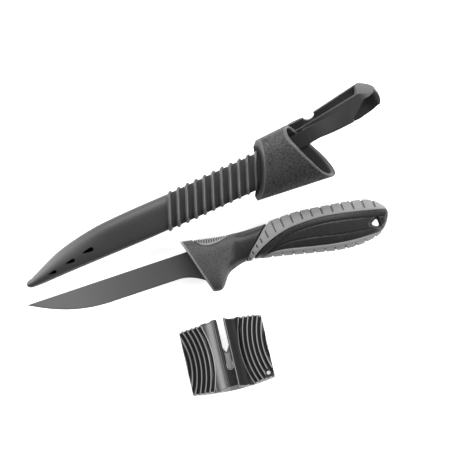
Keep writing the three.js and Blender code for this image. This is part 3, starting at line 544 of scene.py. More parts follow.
def row_tree():
    tree = bpy.data.node_groups.new("copies in a row", "GeometryNodeTree")
    inputs = {}
    kinds = {"Geometry": "Geometry", "Count": "Int", "Step": "Vector", "Finish": "Material"}
    for name, kind in kinds.items():
        socket = tree.interface.new_socket(name, in_out="INPUT", socket_type=f"NodeSocket{kind}")
        inputs[name] = socket.identifier
    tree.interface.new_socket("Geometry", in_out="OUTPUT", socket_type="NodeSocketGeometry")
    start, end = tree.nodes.new("NodeGroupInput"), tree.nodes.new("NodeGroupOutput")
    line, copy, real, paint = (
        tree.nodes.new(f"GeometryNode{kind}")
        for kind in ("MeshLine", "InstanceOnPoints", "RealizeInstances", "SetMaterial")
    )
    for source, output, target, entry in (
        (start, "Count", line, "Count"),
        (start, "Step", line, "Offset"),
        (line, "Mesh", copy, "Points"),
        (start, "Geometry", copy, "Instance"),
        (copy, "Instances", real, "Geometry"),
        (real, "Geometry", paint, "Geometry"),
        (start, "Finish", paint, "Material"),
        (paint, "Geometry", end, "Geometry"),
    ):
        tree.links.new(source.outputs[output], target.inputs[entry])
    return tree, inputs


ROW, ROW_INPUTS = row_tree()


def repeated(obj, count, step, place, finish):
    """Copies of an object's mesh in a row, a step apart along its item."""
    first, second = laid([(0, 0, 0), (step, 0, 0)], place)
    change = obj.modifiers.new("row", "NODES")
    change.node_group = ROW
    for name, value in (("Count", count), ("Step", (second - first).tolist()), ("Finish", finish)):
        change[ROW_INPUTS[name]] = value
    evaluated(obj)


# Blade

BLADE_LENGTH, BLADE_WIDTH, TIP_SWEEP = 101.6, 14.6, 50
HEEL_LENGTH, HEEL_END, HEEL_DROP = 16, 7.04, 6.1
TANG_REACH = 9


def blade_edge(x):
    from_tip = np.minimum((x + BLADE_LENGTH) / TIP_SWEEP, 1)
    heel = np.clip((x + HEEL_LENGTH - HEEL_END) / HEEL_LENGTH, 0, 1)
    return np.minimum(-BLADE_WIDTH * (1 - (1 - from_tip) ** 2.1) - HEEL_DROP * heel**2, -0.4)


def blade_rings(xs, grow):
    """Sections of the blade, or of the slot for it when they are grown."""
    rings = []
    for x in xs:
        edge = float(blade_edge(x)) - grow
        half = 0.4 + 0.7 * min((x + BLADE_LENGTH) / BLADE_LENGTH * 1.6, 1) + grow
        bevel = min(1.2, -edge / 2)
        bevel_half = min(0.25 + grow, half)
        crown = min(0.22, half / 2)
        side = [(grow, half - crown), (grow - 0.3 * crown, half - 0.3 * crown), (grow - crown, half)]
        side += [(edge + bevel, bevel_half), (edge + 0.12 * bevel, 0.03 + grow)]
        rings.append([(x, y, z) for y, z in side] + [(x, y, -z) for y, z in side[::-1]])
    return rings


def make_blade():
    steps = np.linspace(0, 1, 170) ** 1.25
    run = -BLADE_LENGTH + steps * (BLADE_LENGTH + TANG_REACH)
    blade = mesh_object("knife_blade", lofted(blade_rings(run, 0)), KNIFE)
    dressed(blade, "knife", "blade_steel", STEEL, "blade", crease=6)


# Handle

HANDLE_LENGTH, HANDLE_SQUARENESS, FRONT_ROUND, BUTT_ROUND = 125.5, 2.5, 1.5, 1.6
PAD_DEPTH, GRIP_PROUD, GROOVE_LEAN = 1.5, 0.6, -0.087
GUARD_SLOPE = math.tan(math.radians(15.5))
handle_top = smooth_line([
    (-6, 8), (8, 5.5), (28, 2.1), (48, 1.6), (70, 2.1), (88, 0.3), (106.5, -2.3), (117.5, -5.4), (125.5, -13),
])
handle_bottom = smooth_line([
    (-6, -28.4), (8, -28.4), (15, -28.4), (21, -21.4), (26, -18.8), (34, -17.5), (50, -19.7), (75, -25.4),
    (88, -28.2), (101, -29.5), (113, -28.1), (118.4, -25.9), (122, -22.7), (125.5, -17.1),
])
handle_half = smooth_line([(-6, 10), (15, 10), (34, 8.75), (65, 10.73), (95, 11.5), (125.5, 8.5)])

grip_edge = smooth_points([
    (37.4, -18), (42.6, -14.1), (51.2, -9.8), (60.9, -6.6), (69.6, -5.4), (83.3, -5.3), (95.1, -6.8),
    (107, -9.2), (114.6, -11.0), (128.5, -14.2),
])
grip_front = smooth_points([(34.0, -17.9), (38.9, -12.1), (45.4, -5.7), (50.4, -0.9), (55.5, 2.6)])
under_edge = smooth_points([
    (41, -20), (43, -18.4), (52.2, -17.4), (61.3, -18.6), (74.5, -21.6), (87.5, -24.2), (101.3, -25.9),
    (118, -26.3),
])
thumb_edge = smooth_points([(7.2, 6.1), (10.5, 1.8), (15.5, -0.2), (22, 0.1), (29.8, 2.4)])
upper_flute = smooth_points([
    (47.5, -16.4), (56, -12.9), (65.6, -9.7), (82.2, -9.5), (100, -12.2), (121, -17.2),
])
lower_flute = smooth_points([
    (47.5, -16.4), (57, -14.4), (65.6, -14.4), (79.8, -16.7), (98, -20.3), (121, -23.4),
])
LANYARD, LANYARD_HOLE, LANYARD_DISH = (115.7, -19.8), 4.6, 8.4

# Short grooves at the front of the upper grip: top of each in X and Y, and the height where it ends
NECK_GROOVES = (
    (55.7, 0.9, -5.8), (50.4, -3.0, -7.7), (46.0, -6.6, -9.8), (42.6, -9.7, -11.9), (39.1, -12.9, -14.7),
    (36.2, -15.8, -17.0),
)


def handle_points(x, turn, inset, drop=None):
    """Points on the handle drawn in by an inset, or by another amount above and below."""
    drop = inset if drop is None else drop
    high, low = handle_top(x) - drop, handle_bottom(x) + drop
    return section(turn, high, low, handle_half(x) - inset, HANDLE_SQUARENESS)


def handle_turn(x, y):
    """Where a height lies round the handle, as the angle from its top."""
    high, low = handle_top(x), handle_bottom(x)
    share = np.clip((y - (high + low) / 2) / ((high - low) / 2), -1, 1)
    return np.arccos(np.sign(share) * np.abs(share) ** (HANDLE_SQUARENESS / 2))


def butt_inset(x):
    """How far the rounded butt draws in the skin."""
    share = np.clip((x - HANDLE_LENGTH) / BUTT_ROUND + 1, 0, 1)
    return BUTT_ROUND * (1 - np.sqrt(1 - np.minimum(share, 0.985) ** 2))


def rounded_triangle(across, x, y):
    corner = across * 0.24
    reach = across / 2 - corner
    corners = []
    for degrees in (180, 60, -60):
        turn = math.radians(degrees)
        cx, cy = x + reach * math.cos(turn), y + reach * math.sin(turn)
        corners.append(arc_points(cx, cy, corner, degrees + 60, degrees - 60, 9))
    return np.vstack(corners)


def grip_outlines():
    """The three soft pads seen from the side, as closed outlines."""
    upper = np.vstack([grip_edge, [(128.5, 14), (58, 14)], grip_front[::-1], [(33.4, -24), (36.4, -24)]])
    under = np.vstack([under_edge, [(118.5, -38), (40, -38)]])
    thumb = np.vstack([thumb_edge, [(30, 14), (6.8, 14)]])
    return upper, under, thumb


def make_core():
    reach = HANDLE_LENGTH - 1.2
    front = FRONT_ROUND * (1 - np.cos(np.radians(np.linspace(0, 90, 9))))
    back = reach - BUTT_ROUND + BUTT_ROUND * np.sin(np.radians(np.linspace(0, 80, 9)))
    rows = np.concatenate([front, np.linspace(FRONT_ROUND, reach - BUTT_ROUND, 400)[1:], back[1:]])
    sides = 216
    run = np.repeat((rows / reach)[:, None], sides, 1)
    turn = np.repeat(full_turn(sides)[None, :], len(rows), 0)
    to_front = np.maximum(FRONT_ROUND - rows, 0)
    lip = (FRONT_ROUND - np.sqrt(FRONT_ROUND**2 - to_front**2))[:, None]
    tall_lip = 0.65 * lip
    x = run * HANDLE_LENGTH
    for _ in range(8):
        inset = lip + GRIP_PROUD * ease(x, 25, 40) + butt_inset(x + 0.4)
        y, z = handle_points(x, turn, inset, inset - tall_lip)
        start = 1.2 - GUARD_SLOPE * y
        x = start + (HANDLE_LENGTH - 0.45 - start) * run

    behind = x - 32 - GUARD_BACK_LEAN * y
    waist = 0.55 * ease(behind, -0.8, 4.0) * (1 - ease(behind, 5, 17))
    beds = np.maximum.reduce([ease(inside_by(outline, x, y), -0.8, -0.3) for outline in grip_outlines()])
    to_flute = np.minimum(off_line(upper_flute, x, y), off_line(lower_flute, x, y))
    flutes = np.exp(-((to_flute / 0.5) ** 2))
    panel = ease(inside_by(np.vstack([upper_flute, lower_flute[::-1]]), x, y), -0.4, 1.6)
    dish = ease(inside_by(rounded_triangle(LANYARD_DISH, *LANYARD), x, y), -0.2, 1.4)
    flank = ease(np.abs(z), 2, 5)
    fluted = (0.45 * flutes + 0.25 * panel + 1.2 * dish) * flank
    depth = inset + waist * flank + np.maximum(beds * (PAD_DEPTH + 0.3 - GRIP_PROUD), fluted)
    y, z = handle_points(x, turn, depth, depth - tall_lip)
    # Painted shade in the pad beds, the flutes and the lanyard dish, and a painted highlight along the
    # guard's rounded front edge
    groove = np.maximum.reduce([beds, 0.8 * flutes * flank, 0.5 * dish])
    worn = np.repeat(ease(rows, 0.05, 0.3) * (1 - ease(rows, 0.9, 1.6)), sides)
    core = mesh_object(
        "handle_core_body",
        lofted(np.stack([x, y, z], -1)),
        KNIFE,
        groove=np.append(groove, [0, 0]),
        worn=np.append(worn, [0, 0]),
    )
    lanyard_hole = prism(rounded_triangle(LANYARD_HOLE, *LANYARD), -16, 16)
    tang_slot = lofted(blade_rings(np.linspace(-TANG_REACH, TANG_REACH + 0.3, 14), 0.22))
    cut(core, KNIFE, lanyard_hole, tang_slot)
    dressed(core, "knife", "core_plastic", CORE, "handle_core", crease=50)


def pillow(distance, width, depth):
    """Drop of a pad's skin towards its rounded edge."""
    share = 1 - np.clip(distance / width, 0, 1)
    return depth * (1 - np.sqrt(1 - np.minimum(share, 0.999) ** 2))


def trough(distance, width):
    """1 along the middle of a groove, falling to 0 at its sides."""
    return 1 - ease(np.abs(distance), 0.22 * width, 0.5 * width)


def eased_steps(count):
    """Steps from 0 to 1, closer together at both ends."""
    return (1 - np.cos(np.linspace(0, math.pi, count))) / 2


def pad_sheets(x, turn, inset):
    """The skin of a pad and its underside in the handle, as two sheets."""
    outer = np.stack([x, *handle_points(x, turn, inset)], -1)
    inner = np.stack([x, *handle_points(x, turn, PAD_DEPTH + butt_inset(x))], -1)
    return outer, inner


def make_upper_grip():
    first, last, bottom_until = 34.05, HANDLE_LENGTH - 0.9, 37.4
    edge_x = np.concatenate([np.linspace(first, 60, 150), np.linspace(60, last, 300)[1:]])[:, None]
    edge_y = np.maximum(heights(grip_edge, edge_x), handle_bottom(edge_x))
    edge_y = np.where(edge_x < bottom_until, handle_bottom(edge_x), edge_y)
    try_y = edge_y + np.linspace(0, 1, 900) * (12 - edge_y)
    try_x = edge_x + GROOVE_LEAN * (try_y - edge_y)
    at_top = handle_top(try_x) <= try_y
    stop = (at_top | (heights(grip_front[:, ::-1], try_y) >= try_x)).argmax(1)[:, None]
    far_x, far_y, topped = (np.take_along_axis(tried, stop, 1) for tried in (try_x, try_y, at_top))
    near_turn = handle_turn(edge_x, edge_y)
    far_turn = np.where(topped, 0, handle_turn(far_x, far_y))
    share = eased_steps(40)
    turn = near_turn + (far_turn - near_turn) * share
    x = edge_x + (far_x - edge_x) * share
    for _ in range(6):
        y, z = handle_points(x, turn, 0)
        x = edge_x + GROOVE_LEAN * (y - edge_y)

    upright = edge_x - GROOVE_LEAN * edge_y
    height = (y - edge_y) / np.maximum(far_y - edge_y, 0.2)
    groove = np.zeros_like(x)
    for top_x in np.linspace(61.3, 118, 10):
        line = upright - (top_x - GROOVE_LEAN * handle_top(top_x))
        groove = np.maximum(groove, trough(line, 1.25) * ease(height, 0.2, 0.27))
    for top_x, top_y, low_y in NECK_GROOVES:
        line = upright - (top_x - GROOVE_LEAN * top_y)
        length = ease(y, low_y - 0.3, low_y + 0.3) * (1 - ease(y, top_y - 0.3, top_y + 0.3))
        groove = np.maximum(groove, trough(line, 1.15) * length)
    rim = np.minimum(off_line(grip_edge, x, y), off_line(grip_front, x, y))
    sheets = pad_sheets(x, turn, pillow(rim, 1.1, 0.5) + butt_inset(x) + 0.8 * groove)
    points, faces = slab(*sheets)
    both = np.vstack([points, points * (1, 1, -1)]), faces + (np.array(faces) + len(points)).tolist()
    # Painted shade in the grooves, on the skin only
    shade = np.tile(np.append(groove, np.zeros(x.size)), 2)
    grip = mesh_object("upper_soft_grip", both, KNIFE, groove=shade)
    drop_inner_walls(grip)
    dressed(grip, "knife", "grip_rubber", GRIP, "upper_grip", crease=50)


def drop_inner_walls(obj):
    """Takes out the walls where two halves of a pad meet, so that the skin is one closed form."""
    with reworked(obj.data) as made:
        seen = {}
        for face in made.faces:
            seen.setdefault(frozenset(v.index for v in face.verts), []).append(face)
        doubled = [face for same in seen.values() if len(same) > 1 for face in same]
        bmesh.ops.delete(made, geom=doubled, context="FACES")
        bmesh.ops.recalc_face_normals(made, faces=made.faces)


def make_saddle(
    name, node, edge, crown, crown_turn, ends, counts, grooves, lean, width, fade, rim, depth, dark
):
    """A soft pad bent over the top or the bottom of the handle, with grooves across it."""
    rows, columns = counts
    x = np.repeat(np.linspace(*ends, rows)[:, None], columns, 1)
    top = crown(x)
    way = math.cos(crown_turn)
    edge_y = top - way * np.maximum(way * (top - heights(edge, x)), 0.05)
    edge_turn = handle_turn(x, edge_y)
    turn = edge_turn + 2 * (crown_turn - edge_turn) * eased_steps(columns)
    y, z = handle_points(x, turn, 0)
    rise = way * (y - edge_y) / np.maximum(way * (top - edge_y), 0.2)
    groove = np.zeros_like(x)
    for place in np.linspace(*grooves):
        line = x - place - lean * (y - crown(place))
        groove = np.maximum(groove, trough(line, width) * ease(rise, *fade))
    sheets = pad_sheets(x, turn, pillow(off_line(edge, x, y), rim, 0.5) + depth * groove)
    # Painted shade in the grooves, on the skin only
    shade = np.append(dark * groove, np.zeros(x.size))
    pad = mesh_object(name, slab(*sheets), KNIFE, groove=shade)
    dressed(pad, "knife", "grip_rubber", GRIP, node, crease=50)


def make_under_grip():
    make_saddle(
        "lower_soft_grip", "lower_grip", under_edge, handle_bottom, math.pi,
        ends=(42.6, 117.8), counts=(330, 60), grooves=(50, 113, 11), lean=GROOVE_LEAN, width=1.3,
        fade=(0.38, 0.5), rim=1.0, depth=0.8, dark=1.0,
    )


def make_thumb_rest():
    make_saddle(
        "thumb_rest_pad", "thumb_rest", thumb_edge, handle_top, 0,
        ends=(7.4, 29.4), counts=(170, 56), grooves=(8.8, 26.6, 13), lean=0.12, width=1.15,
        fade=(0.25, 0.4), rim=0.9, depth=0.6, dark=1.6,
    )


# Sheath

SCABBARD_LENGTH, SCABBARD_WALL, SCABBARD_SIDES = 170.0, 1.7, 96
RIB_FIRST, RIB_PITCH, RIB_COUNT, RIB_HEIGHT, RIB_LEAN = 97.8, 5.86, 11, 1.3, 0.43
NOSE = 4.2
DRAIN_FIRST, DRAIN_STEP, DRAIN_HALF, DRAIN_GROWTH = np.array([19, 0.2]), np.array([13, 1.5]), 0.95, 1.15
scabbard_top = smooth_line([
    (0, 0.7), (10, 4.7), (28, 10.9), (50, 14.3), (70, 14.9), (92, 14.3), (108.5, 13.9), (180, 13.9),
])
scabbard_bottom = smooth_line([(0, -0.7), (5, -3), (30, -3.9), (92, -6), (180, -7)])
scabbard_half = smooth_line([(0, 1.4), (10, 3.4), (40, 4.9), (90, 5.4), (180, 5.4)])


def scabbard_ring(along, grow, sides=SCABBARD_SIDES):
    """A section of the scabbard, leaning as its ribs do where they begin."""
    turn = full_turn(sides)
    square = 2 + np.where(np.cos(turn) > 0, 0.3, 1.0) * float(ease(along, 8, 60))
    high, low = scabbard_top(along) + grow, scabbard_bottom(along) - grow
    y, z = section(turn, high, low, scabbard_half(along) + grow, square)
    lean = RIB_LEAN * float(ease(along, 0.62 * RIB_FIRST, RIB_FIRST))
    return np.stack([along + lean * y, y, z], -1)


def drain_slot(i):
    """One of three teardrops, each larger than the one before it."""
    half = DRAIN_HALF * DRAIN_GROWTH**i
    x, y = DRAIN_FIRST + i * DRAIN_STEP
    upper = curve_through((x - 4.2 * half, y), (x - half, y + half), (x + half, y + half), 10)
    lower = upper[::-1] * (1, -1) + (0, 2 * y)
    return np.vstack([upper, arc_points(x + half, y, half, 90, -90, 12)[1:-1], lower[:-1]])


def make_scabbard():
    end = scabbard_ring(NOSE, 0)
    middle = end.mean(0)
    turns = np.radians(np.linspace(6, 90, 15))[:, None, None]
    tip = (end - middle) * np.sin(turns) + middle
    tip[:, :, 0] = NOSE * (1 - np.cos(turns[:, :, 0]))
    outer_run, inner_run = np.linspace(NOSE, SCABBARD_LENGTH, 236)[1:], np.linspace(SCABBARD_LENGTH, 7, 60)
    outer = np.stack([*tip, *(scabbard_ring(along, 0) for along in outer_run)])
    inner = np.stack([scabbard_ring(along, -SCABBARD_WALL) for along in inner_run])
    run = np.concatenate([np.zeros(len(tip)), outer_run])[:, None]
    # Painted highlight over the upper part near the tip, then as a stripe along the upper edge that ends
    # before the ribs
    height = outer[:, :, 1]
    high, low = height.max(1, keepdims=True), height.min(1, keepdims=True)
    level = (2 * height - high - low) / (high - low)
    highlight_stripe = 0.35 * np.exp(-(((level - 0.74) / 0.22) ** 2)) * (1 - ease(run, RIB_FIRST - 4, RIB_FIRST))
    away = ease(run, 4, 62)
    worn = (1 - away) * 1.5 * ease(level, -0.4, 0.7) + away * highlight_stripe
    # Painted shade on the tube between the ribs, and on the hidden inner wall
    dark = np.repeat(0.75 * ease(run, RIB_FIRST - 2, RIB_FIRST + 1), SCABBARD_SIDES)
    hidden = inner[:, :, 0].size
    scabbard = mesh_object(
        "scabbard_tube",
        lofted(np.concatenate([outer, inner])),
        HOME,
        shade=np.concatenate([dark, np.ones(hidden), [0, 1]]),
        worn=np.append(worn, np.zeros(hidden + 2)),
    )
    cut(scabbard, HOME, *(prism(drain_slot(i), 0, 16) for i in range(3)))
    settle(scabbard, SHEATH)
    dressed(scabbard, "sheath", "sheath_plastic", SCABBARD, "scabbard", crease=35)


def make_ribs():
    profile = [(-1.75, -0.25), (-1.4, 0.1), (-1.1, 0.55), (-0.75, 0.98), (-0.38, 1.22), (0, RIB_HEIGHT)]
    profile += [(-along, up) for along, up in profile[-2::-1]] + [(1.0, -0.6), (-1.0, -0.6)]
    rings = [scabbard_ring(RIB_FIRST, up) + (along, 0, 0) for along, up in profile]
    # Painted highlight along each rib's crest
    crest_highlight = [0, 0, 0, 0.1, 0.32, 0.45, 0.32, 0.1, 0, 0, 0, 0, 0]
    worn = np.repeat(crest_highlight, SCABBARD_SIDES)
    ribs = mesh_object("scabbard_ribs", lofted(rings, loop=True), SHEATH, worn=worn)
    repeated(ribs, RIB_COUNT, RIB_PITCH, SHEATH, SCABBARD)
    dressed(ribs, "sheath", "sheath_plastic", SCABBARD, crease=50)


COLLAR_START, COLLAR_LENGTH, COLLAR_WALL, COLLAR_SIDES = 154.4, 61.6, 2.4, 128
COLLAR_SQUARENESS, COLLAR_SHOULDER, COLLAR_LEAN, RIM_ROUND = 2.5, 3.2, 0.72, 0.7

# Top, bottom and thickness of the collar, at its start and at its end
COLLAR_SIZES = ((21, 22.4), (-12.7, -20), (19, 26))
rim_line = smooth_points([(184.6, 27), (187.1, 14), (190, 6.3), (194.3, -5), (198.8, -18), (201.5, -26)])


def collar_ring(along, inset):
    """Points round the collar; along may change round it."""
    share = (along - COLLAR_START) / COLLAR_LENGTH
    high, low, thick = (first + (last - first) * share for first, last in COLLAR_SIZES)
    turn = full_turn(COLLAR_SIDES)
    y, z = section(turn, high - inset, low + inset, thick / 2 - inset, COLLAR_SQUARENESS)
    return np.stack([along + RIB_LEAN * y, y, z], -1)


def collar_rim(inset):
    """How far along the slanting mouth lies, all round."""
    along = np.full(COLLAR_SIDES, 190.0)
    for _ in range(10):
        ring = collar_ring(along, inset)
        rim = np.interp(-ring[:, 1], -rim_line[:, 1], rim_line[:, 0]) - 0.25 * ring[:, 2]
        along = rim - RIB_LEAN * ring[:, 1]
    return along


def make_collar():
    outside, inside = collar_rim(0) - RIM_ROUND, collar_rim(COLLAR_WALL)
    rings, smooth, shade = [], [], []

    def add(ring, value, dark=0.0):
        rings.append(ring)
        smooth.append(value)
        shade.append(dark)

    # Painted values: a highlight line round the shoulder near its outer side, a shade ring where the shoulder
    # meets the scabbard, and shade inside the mouth
    start = COLLAR_START + COLLAR_LEAN * np.maximum(collar_ring(COLLAR_START, 0)[:, 2], 0)
    for share in np.linspace(0, 1, 17):
        edge = 1.0 + 3.4 * math.exp(-(((share - 0.86) / 0.1) ** 2))
        dark = 0.6 * float(1 - ease(share, 0.0, 0.2))
        along = start + 0.6 * COLLAR_SHOULDER * share
        add(collar_ring(along, COLLAR_SHOULDER * (1 - share) ** 1.35), edge, dark)
    start = along
    for share in np.linspace(0, 1, 90)[1:]:
        along = start + (outside - start) * share
        add(collar_ring(along, 0), max(1 - share * 14, 0, (share - 0.985) * 60))
    for degrees in (22, 45, 68, 90):
        turn = math.radians(degrees)
        add(collar_ring(outside + RIM_ROUND * math.sin(turn), RIM_ROUND * (1 - math.cos(turn))), 1.0)
    add(collar_ring(inside, COLLAR_WALL - 0.5), 1.0)
    inside = inside - 0.5
    add(collar_ring(inside, COLLAR_WALL), 1.0, 0.3)
    for share in np.linspace(0, 1, 24)[1:]:
        add(collar_ring(inside + (SCABBARD_LENGTH - inside) * share, COLLAR_WALL), 1.0, 1.0)
    for along in (SCABBARD_LENGTH, 165.0):
        add(scabbard_ring(along, 0.3, COLLAR_SIDES), 1.0, 1.0)
    last = scabbard_ring(COLLAR_START + 0.6, 0.3, COLLAR_SIDES)
    last[:, 0] += COLLAR_LEAN * np.maximum(last[:, 2], 0)
    add(last, 1.0, 1.0)
    add(0.5 * last + 0.5 * rings[0], 1.0, 1.0)
    collar = mesh_object(
        "collar_throat",
        lofted(rings, loop=True),
        SHEATH,
        groove=np.repeat(smooth, COLLAR_SIDES),
        shade=np.repeat(shade, COLLAR_SIDES),
    )
    dressed(collar, "sheath", "collar_plastic", COLLAR, "collar", crease=45)


# Belt clip, in its own frame: X from the collar's rim, Z from the collar's outside

CLIP_REACH, CLIP_GAP, CLIP_THICK, CLIP_WIDTH, CLIP_RIM_WIDTH = 42.0, 15.0, 3.0, 15.2, 9.7
CLIP_TOP, CLIP_LOW, CLIP_HIGH = -0.3, -CLIP_WIDTH / 2, CLIP_WIDTH / 2
CLIP_LEG, CLIP_PINCH = 41.5, 6.5
BEND_INNER = CLIP_GAP / 2
BEND_OUTER = BEND_INNER + CLIP_THICK
BEND_MIDDLE = CLIP_TOP - CLIP_THICK - BEND_INNER
CLIP_TIP = CLIP_REACH + BEND_OUTER
TABLE_CLEARANCE = 0.00003
front_edge = smooth_points([
    (-30, CLIP_LOW + 1.6), (0, CLIP_LOW), (10, CLIP_LOW - 0.6), (20, CLIP_LOW - 1.0), (30, CLIP_LOW - 0.7),
    (46, CLIP_LOW + 0.7), (CLIP_TIP - 0.4, CLIP_LOW + 4),
], 8)
back_edge = smooth_points([
    (-30, CLIP_LOW), (16, CLIP_LOW), (25, -11.2), (32, -13.3), (38, -12.8), (44, -11.7), (48.6, -9.3),
    (51.4, -6.4), (CLIP_TIP - 0.4, -1.8),
], 8)


def clip_waste(low_edge):
    """What lies round the clip seen from the front, past its low edge, its slanted end and its high edge."""
    start = CLIP_LOW + CLIP_RIM_WIDTH
    around = [(low_edge[0][0], -30), (70, -30), (70, 20), (-30, 20), (-30, start), (0, start)]
    end = np.array([(-10.4, -0.6), (-9.6, -0.8), (-2.8, -4.4), (-1.7, -5.6)]) + (CLIP_TIP, CLIP_HIGH)
    return np.vstack([around, end, low_edge[::-1]])


def make_clip():
    bend_out = arc_points(CLIP_REACH, BEND_MIDDLE, BEND_OUTER, 90, -90 - CLIP_PINCH, 60)
    bend_in = arc_points(CLIP_REACH, BEND_MIDDLE, BEND_INNER, -90 - CLIP_PINCH, 90, 60)
    pinch = math.radians(CLIP_PINCH)
    run = CLIP_LEG * np.array([-math.cos(pinch), math.sin(pinch)])
    leg_end = [bend_out[-1] + run, bend_in[0] + run]
    strip = np.vstack([[(-15, CLIP_TOP)], bend_out, leg_end, bend_in, [(-15, CLIP_TOP - CLIP_THICK)]])
    clip = mesh_object("belt_clip_spring", crosswise(strip, -16, CLIP_HIGH + 1), HOME)

    open_from, web_low = CLIP_REACH - 9.5, CLIP_HIGH - 5.4
    opening = [(open_from, -20), (70, -20), (70, web_low), (CLIP_REACH + 2, web_low)]
    opening.append((open_from, CLIP_LOW + 1))
    cut(clip, HOME, prism(opening, BEND_MIDDLE + 0.5, 8))
    round_web = arc_points(CLIP_REACH, BEND_MIDDLE, BEND_OUTER - 1, -90, 90, 40)
    web = np.vstack([round_web, [(CLIP_REACH - 2, CLIP_TOP - 1), (CLIP_REACH - 2, -21)]])
    combine(clip, "UNION", HOME, crosswise(web, web_low, CLIP_HIGH + 2))
    cut(clip, HOME, prism(clip_waste(front_edge), BEND_MIDDLE, 8))
    cut(clip, HOME, prism(clip_waste(back_edge), -40, BEND_MIDDLE))

    end = np.mean(leg_end, 0)
    neck = end[0] + 7.4
    high = CLIP_LOW + CLIP_RIM_WIDTH + (CLIP_WIDTH - CLIP_RIM_WIDTH) * neck / CLIP_REACH
    for edge in (CLIP_LOW, high):
        scoop = arc_points(0, 0, 1, 0, 355, 40) * (3.6, 2.7) + (neck, edge)
        cut(clip, HOME, prism(scoop, -40, BEND_MIDDLE))
    bulb = circle(0, 0, 1, 45) * (5.6, 2.3) + end + (-1.4, 0.9)
    combine(clip, "UNION", HOME, crosswise(bulb, CLIP_LOW + 0.3, high + 0.6))
    ramp = smooth_points([(30, -0.34), (25, -0.2), (19, 0.35), (12, 1.5), (6, 3.0), (3.2, 4.2)], 4)
    hook = np.vstack([[(2.0, -1.8), (30, -1.8)], ramp, [(-9, 5.8), (-9, 4.3), (2.0, 3.2)]])
    combine(clip, "UNION", HOME, crosswise(hook, CLIP_LOW + 0.15, CLIP_LOW + CLIP_RIM_WIDTH - 0.1))
    rounded(clip, 0.45, 3, 30)

    # Painted shade between the legs, inside the bend, on the leg's root by the collar and over the top of the
    # bend; painted highlight on the rounded edges, where the painted shade is also lifted
    x, _, z = own_points(clip).T
    floor = BEND_MIDDLE - BEND_INNER + math.tan(pinch) * np.maximum(CLIP_REACH - x, 0)
    between = (x <= CLIP_REACH) & (z < CLIP_TOP - CLIP_THICK + 0.1) & (z > floor - 0.1)
    bend = (x > CLIP_REACH) & (np.hypot(x - CLIP_REACH, z - BEND_MIDDLE) < BEND_INNER + 0.1)
    root = (1 - ease(x, 3, 26)) * (z > CLIP_TOP - 0.6)
    web_top = 0.3 * ease(x, CLIP_REACH - 6, CLIP_REACH)
    shade = np.maximum.reduce([np.where(between | bend, 0.9, 0), root, web_top])
    edges = worn_edges(clip, 0.3)
    painted(clip.data, shade=shade * (1 - 0.85 * edges), worn=0.6 * edges)
    settle(clip, CLIP)
    for vertex in clip.data.vertices:
        vertex.co.z = max(vertex.co.z, TABLE_CLEARANCE)
    dressed(clip, None, "sheath_plastic", SCABBARD, "belt_clip", "clip_spring_leg", crease=45)
    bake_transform(clip)


# Sharpener

SHELL_HALF, SHELL_SPLIT = 25.6, 8.0
RIDGE_FIRST, RIDGE_RADIUS, RIDGE_PITCH, RIDGE_LEVEL, RIDGE_DEPTH = 8.4, 58.0, 2.82, 1.2, 1.6
EYELET, EYELET_RADIUS = (22.2, -16.0), 1.2
SLOT_MIDDLE, SLOT_FOOT, SLOT_HALF, INSERT_HALF = 0.3, -7.3, 2.0, 1.8
PLATE_HALF, PLATE_TALL, PLATE_THICK, PLATE_LEAN = 2.5, 5.5, 1.6, 30
SCREW_X, SCREW_Y = 16, -10

left_hollow = curve_through((-10.8, 17.9), (-7.7, 14.9), (-4.3, 13.5))
right_hollow = curve_through((4.0, 13.6), (8.6, 13.6), (10.8, 17.9))
shoulder = curve_through((10.8, 17.9), (13.6, 19.8), (27.6, 16.4), 40)
slot_sides = [(-3.6, 13.9), (-3.2, 13.3), (-2.5, 12.1), (2.45, 12.1), (2.55, 13.4), (2.9, 13.9), (3.3, 13.7)]
left_shoulder = shoulder[:0:-1] * (-1, 1)
shell_section = np.vstack([left_shoulder, left_hollow, slot_sides, right_hollow, shoulder[1:]])
end_low = curve_through((-25.6, -19.6), (0, -24.2), (25.6, -19.6), 60)
end_high = curve_through((-25.6, 19.6), (0, 23.4), (25.6, 19.6), 60)
top_edge = np.array([
    (-25.6, 19.4), (-22, 20.2), (-17, 20.6), (-11, 21.2), (-7, 21.8), (-3.6, 23.2), (-2.3, 22.6), (2.4, 23.0),
    (4.4, 21.9), (6.9, 21.1), (9.4, 20.9), (12.1, 21.0), (17, 20.6), (23, 20.1), (25.6, 19.3),
])
low_edge = np.array([
    (-25.6, -19.4), (-20, -19.8), (-12.5, -20.3), (-8, -20.4), (-4.4, -19.5), (2, -19.1), (6.6, -20.3),
    (10.4, -20.6), (17, -20.2), (25.6, -19.3),
])


def shell_height(x, y):
    """Height of the front shell, with painted shade where a place lies deep in a groove or over the right
    hollow, and a painted highlight near a crest and along the slot's lips.
    """
    ring = np.hypot(np.abs(x) - RIDGE_FIRST - RIDGE_RADIUS, y - RIDGE_LEVEL)
    into = RIDGE_RADIUS - ring
    phase = np.mod(into, RIDGE_PITCH)
    to_crest = np.minimum(phase, RIDGE_PITCH - phase)
    deep = ease(to_crest, 0.28, 0.8) * (into > 0)
    crest = (1 - ease(to_crest, 0.1, 0.42)) * ease(into, -0.35, 0)
    near_eye = np.maximum(np.abs(x - EYELET[0] - 0.4), np.abs(y - EYELET[1] + 0.2))
    pad = 1 - ease(near_eye, 2.3, 2.8)
    # Painted shade over the right hollow, and painted highlight lines along the slot's lips
    shaded = 0.8 * ease(x, 3.1, 3.6) * (1 - ease(x, 8.5, 10))
    lips = 0.6 - 0.6 * ease(np.minimum(np.abs(x - 2.9), np.abs(x + 3.9)), 0.2, 0.5)
    height = heights(shell_section, x) - RIDGE_DEPTH * np.maximum(deep, pad)
    return height, np.maximum(deep * (1 - pad), shaded), np.maximum(crest * (1 - pad), lips)


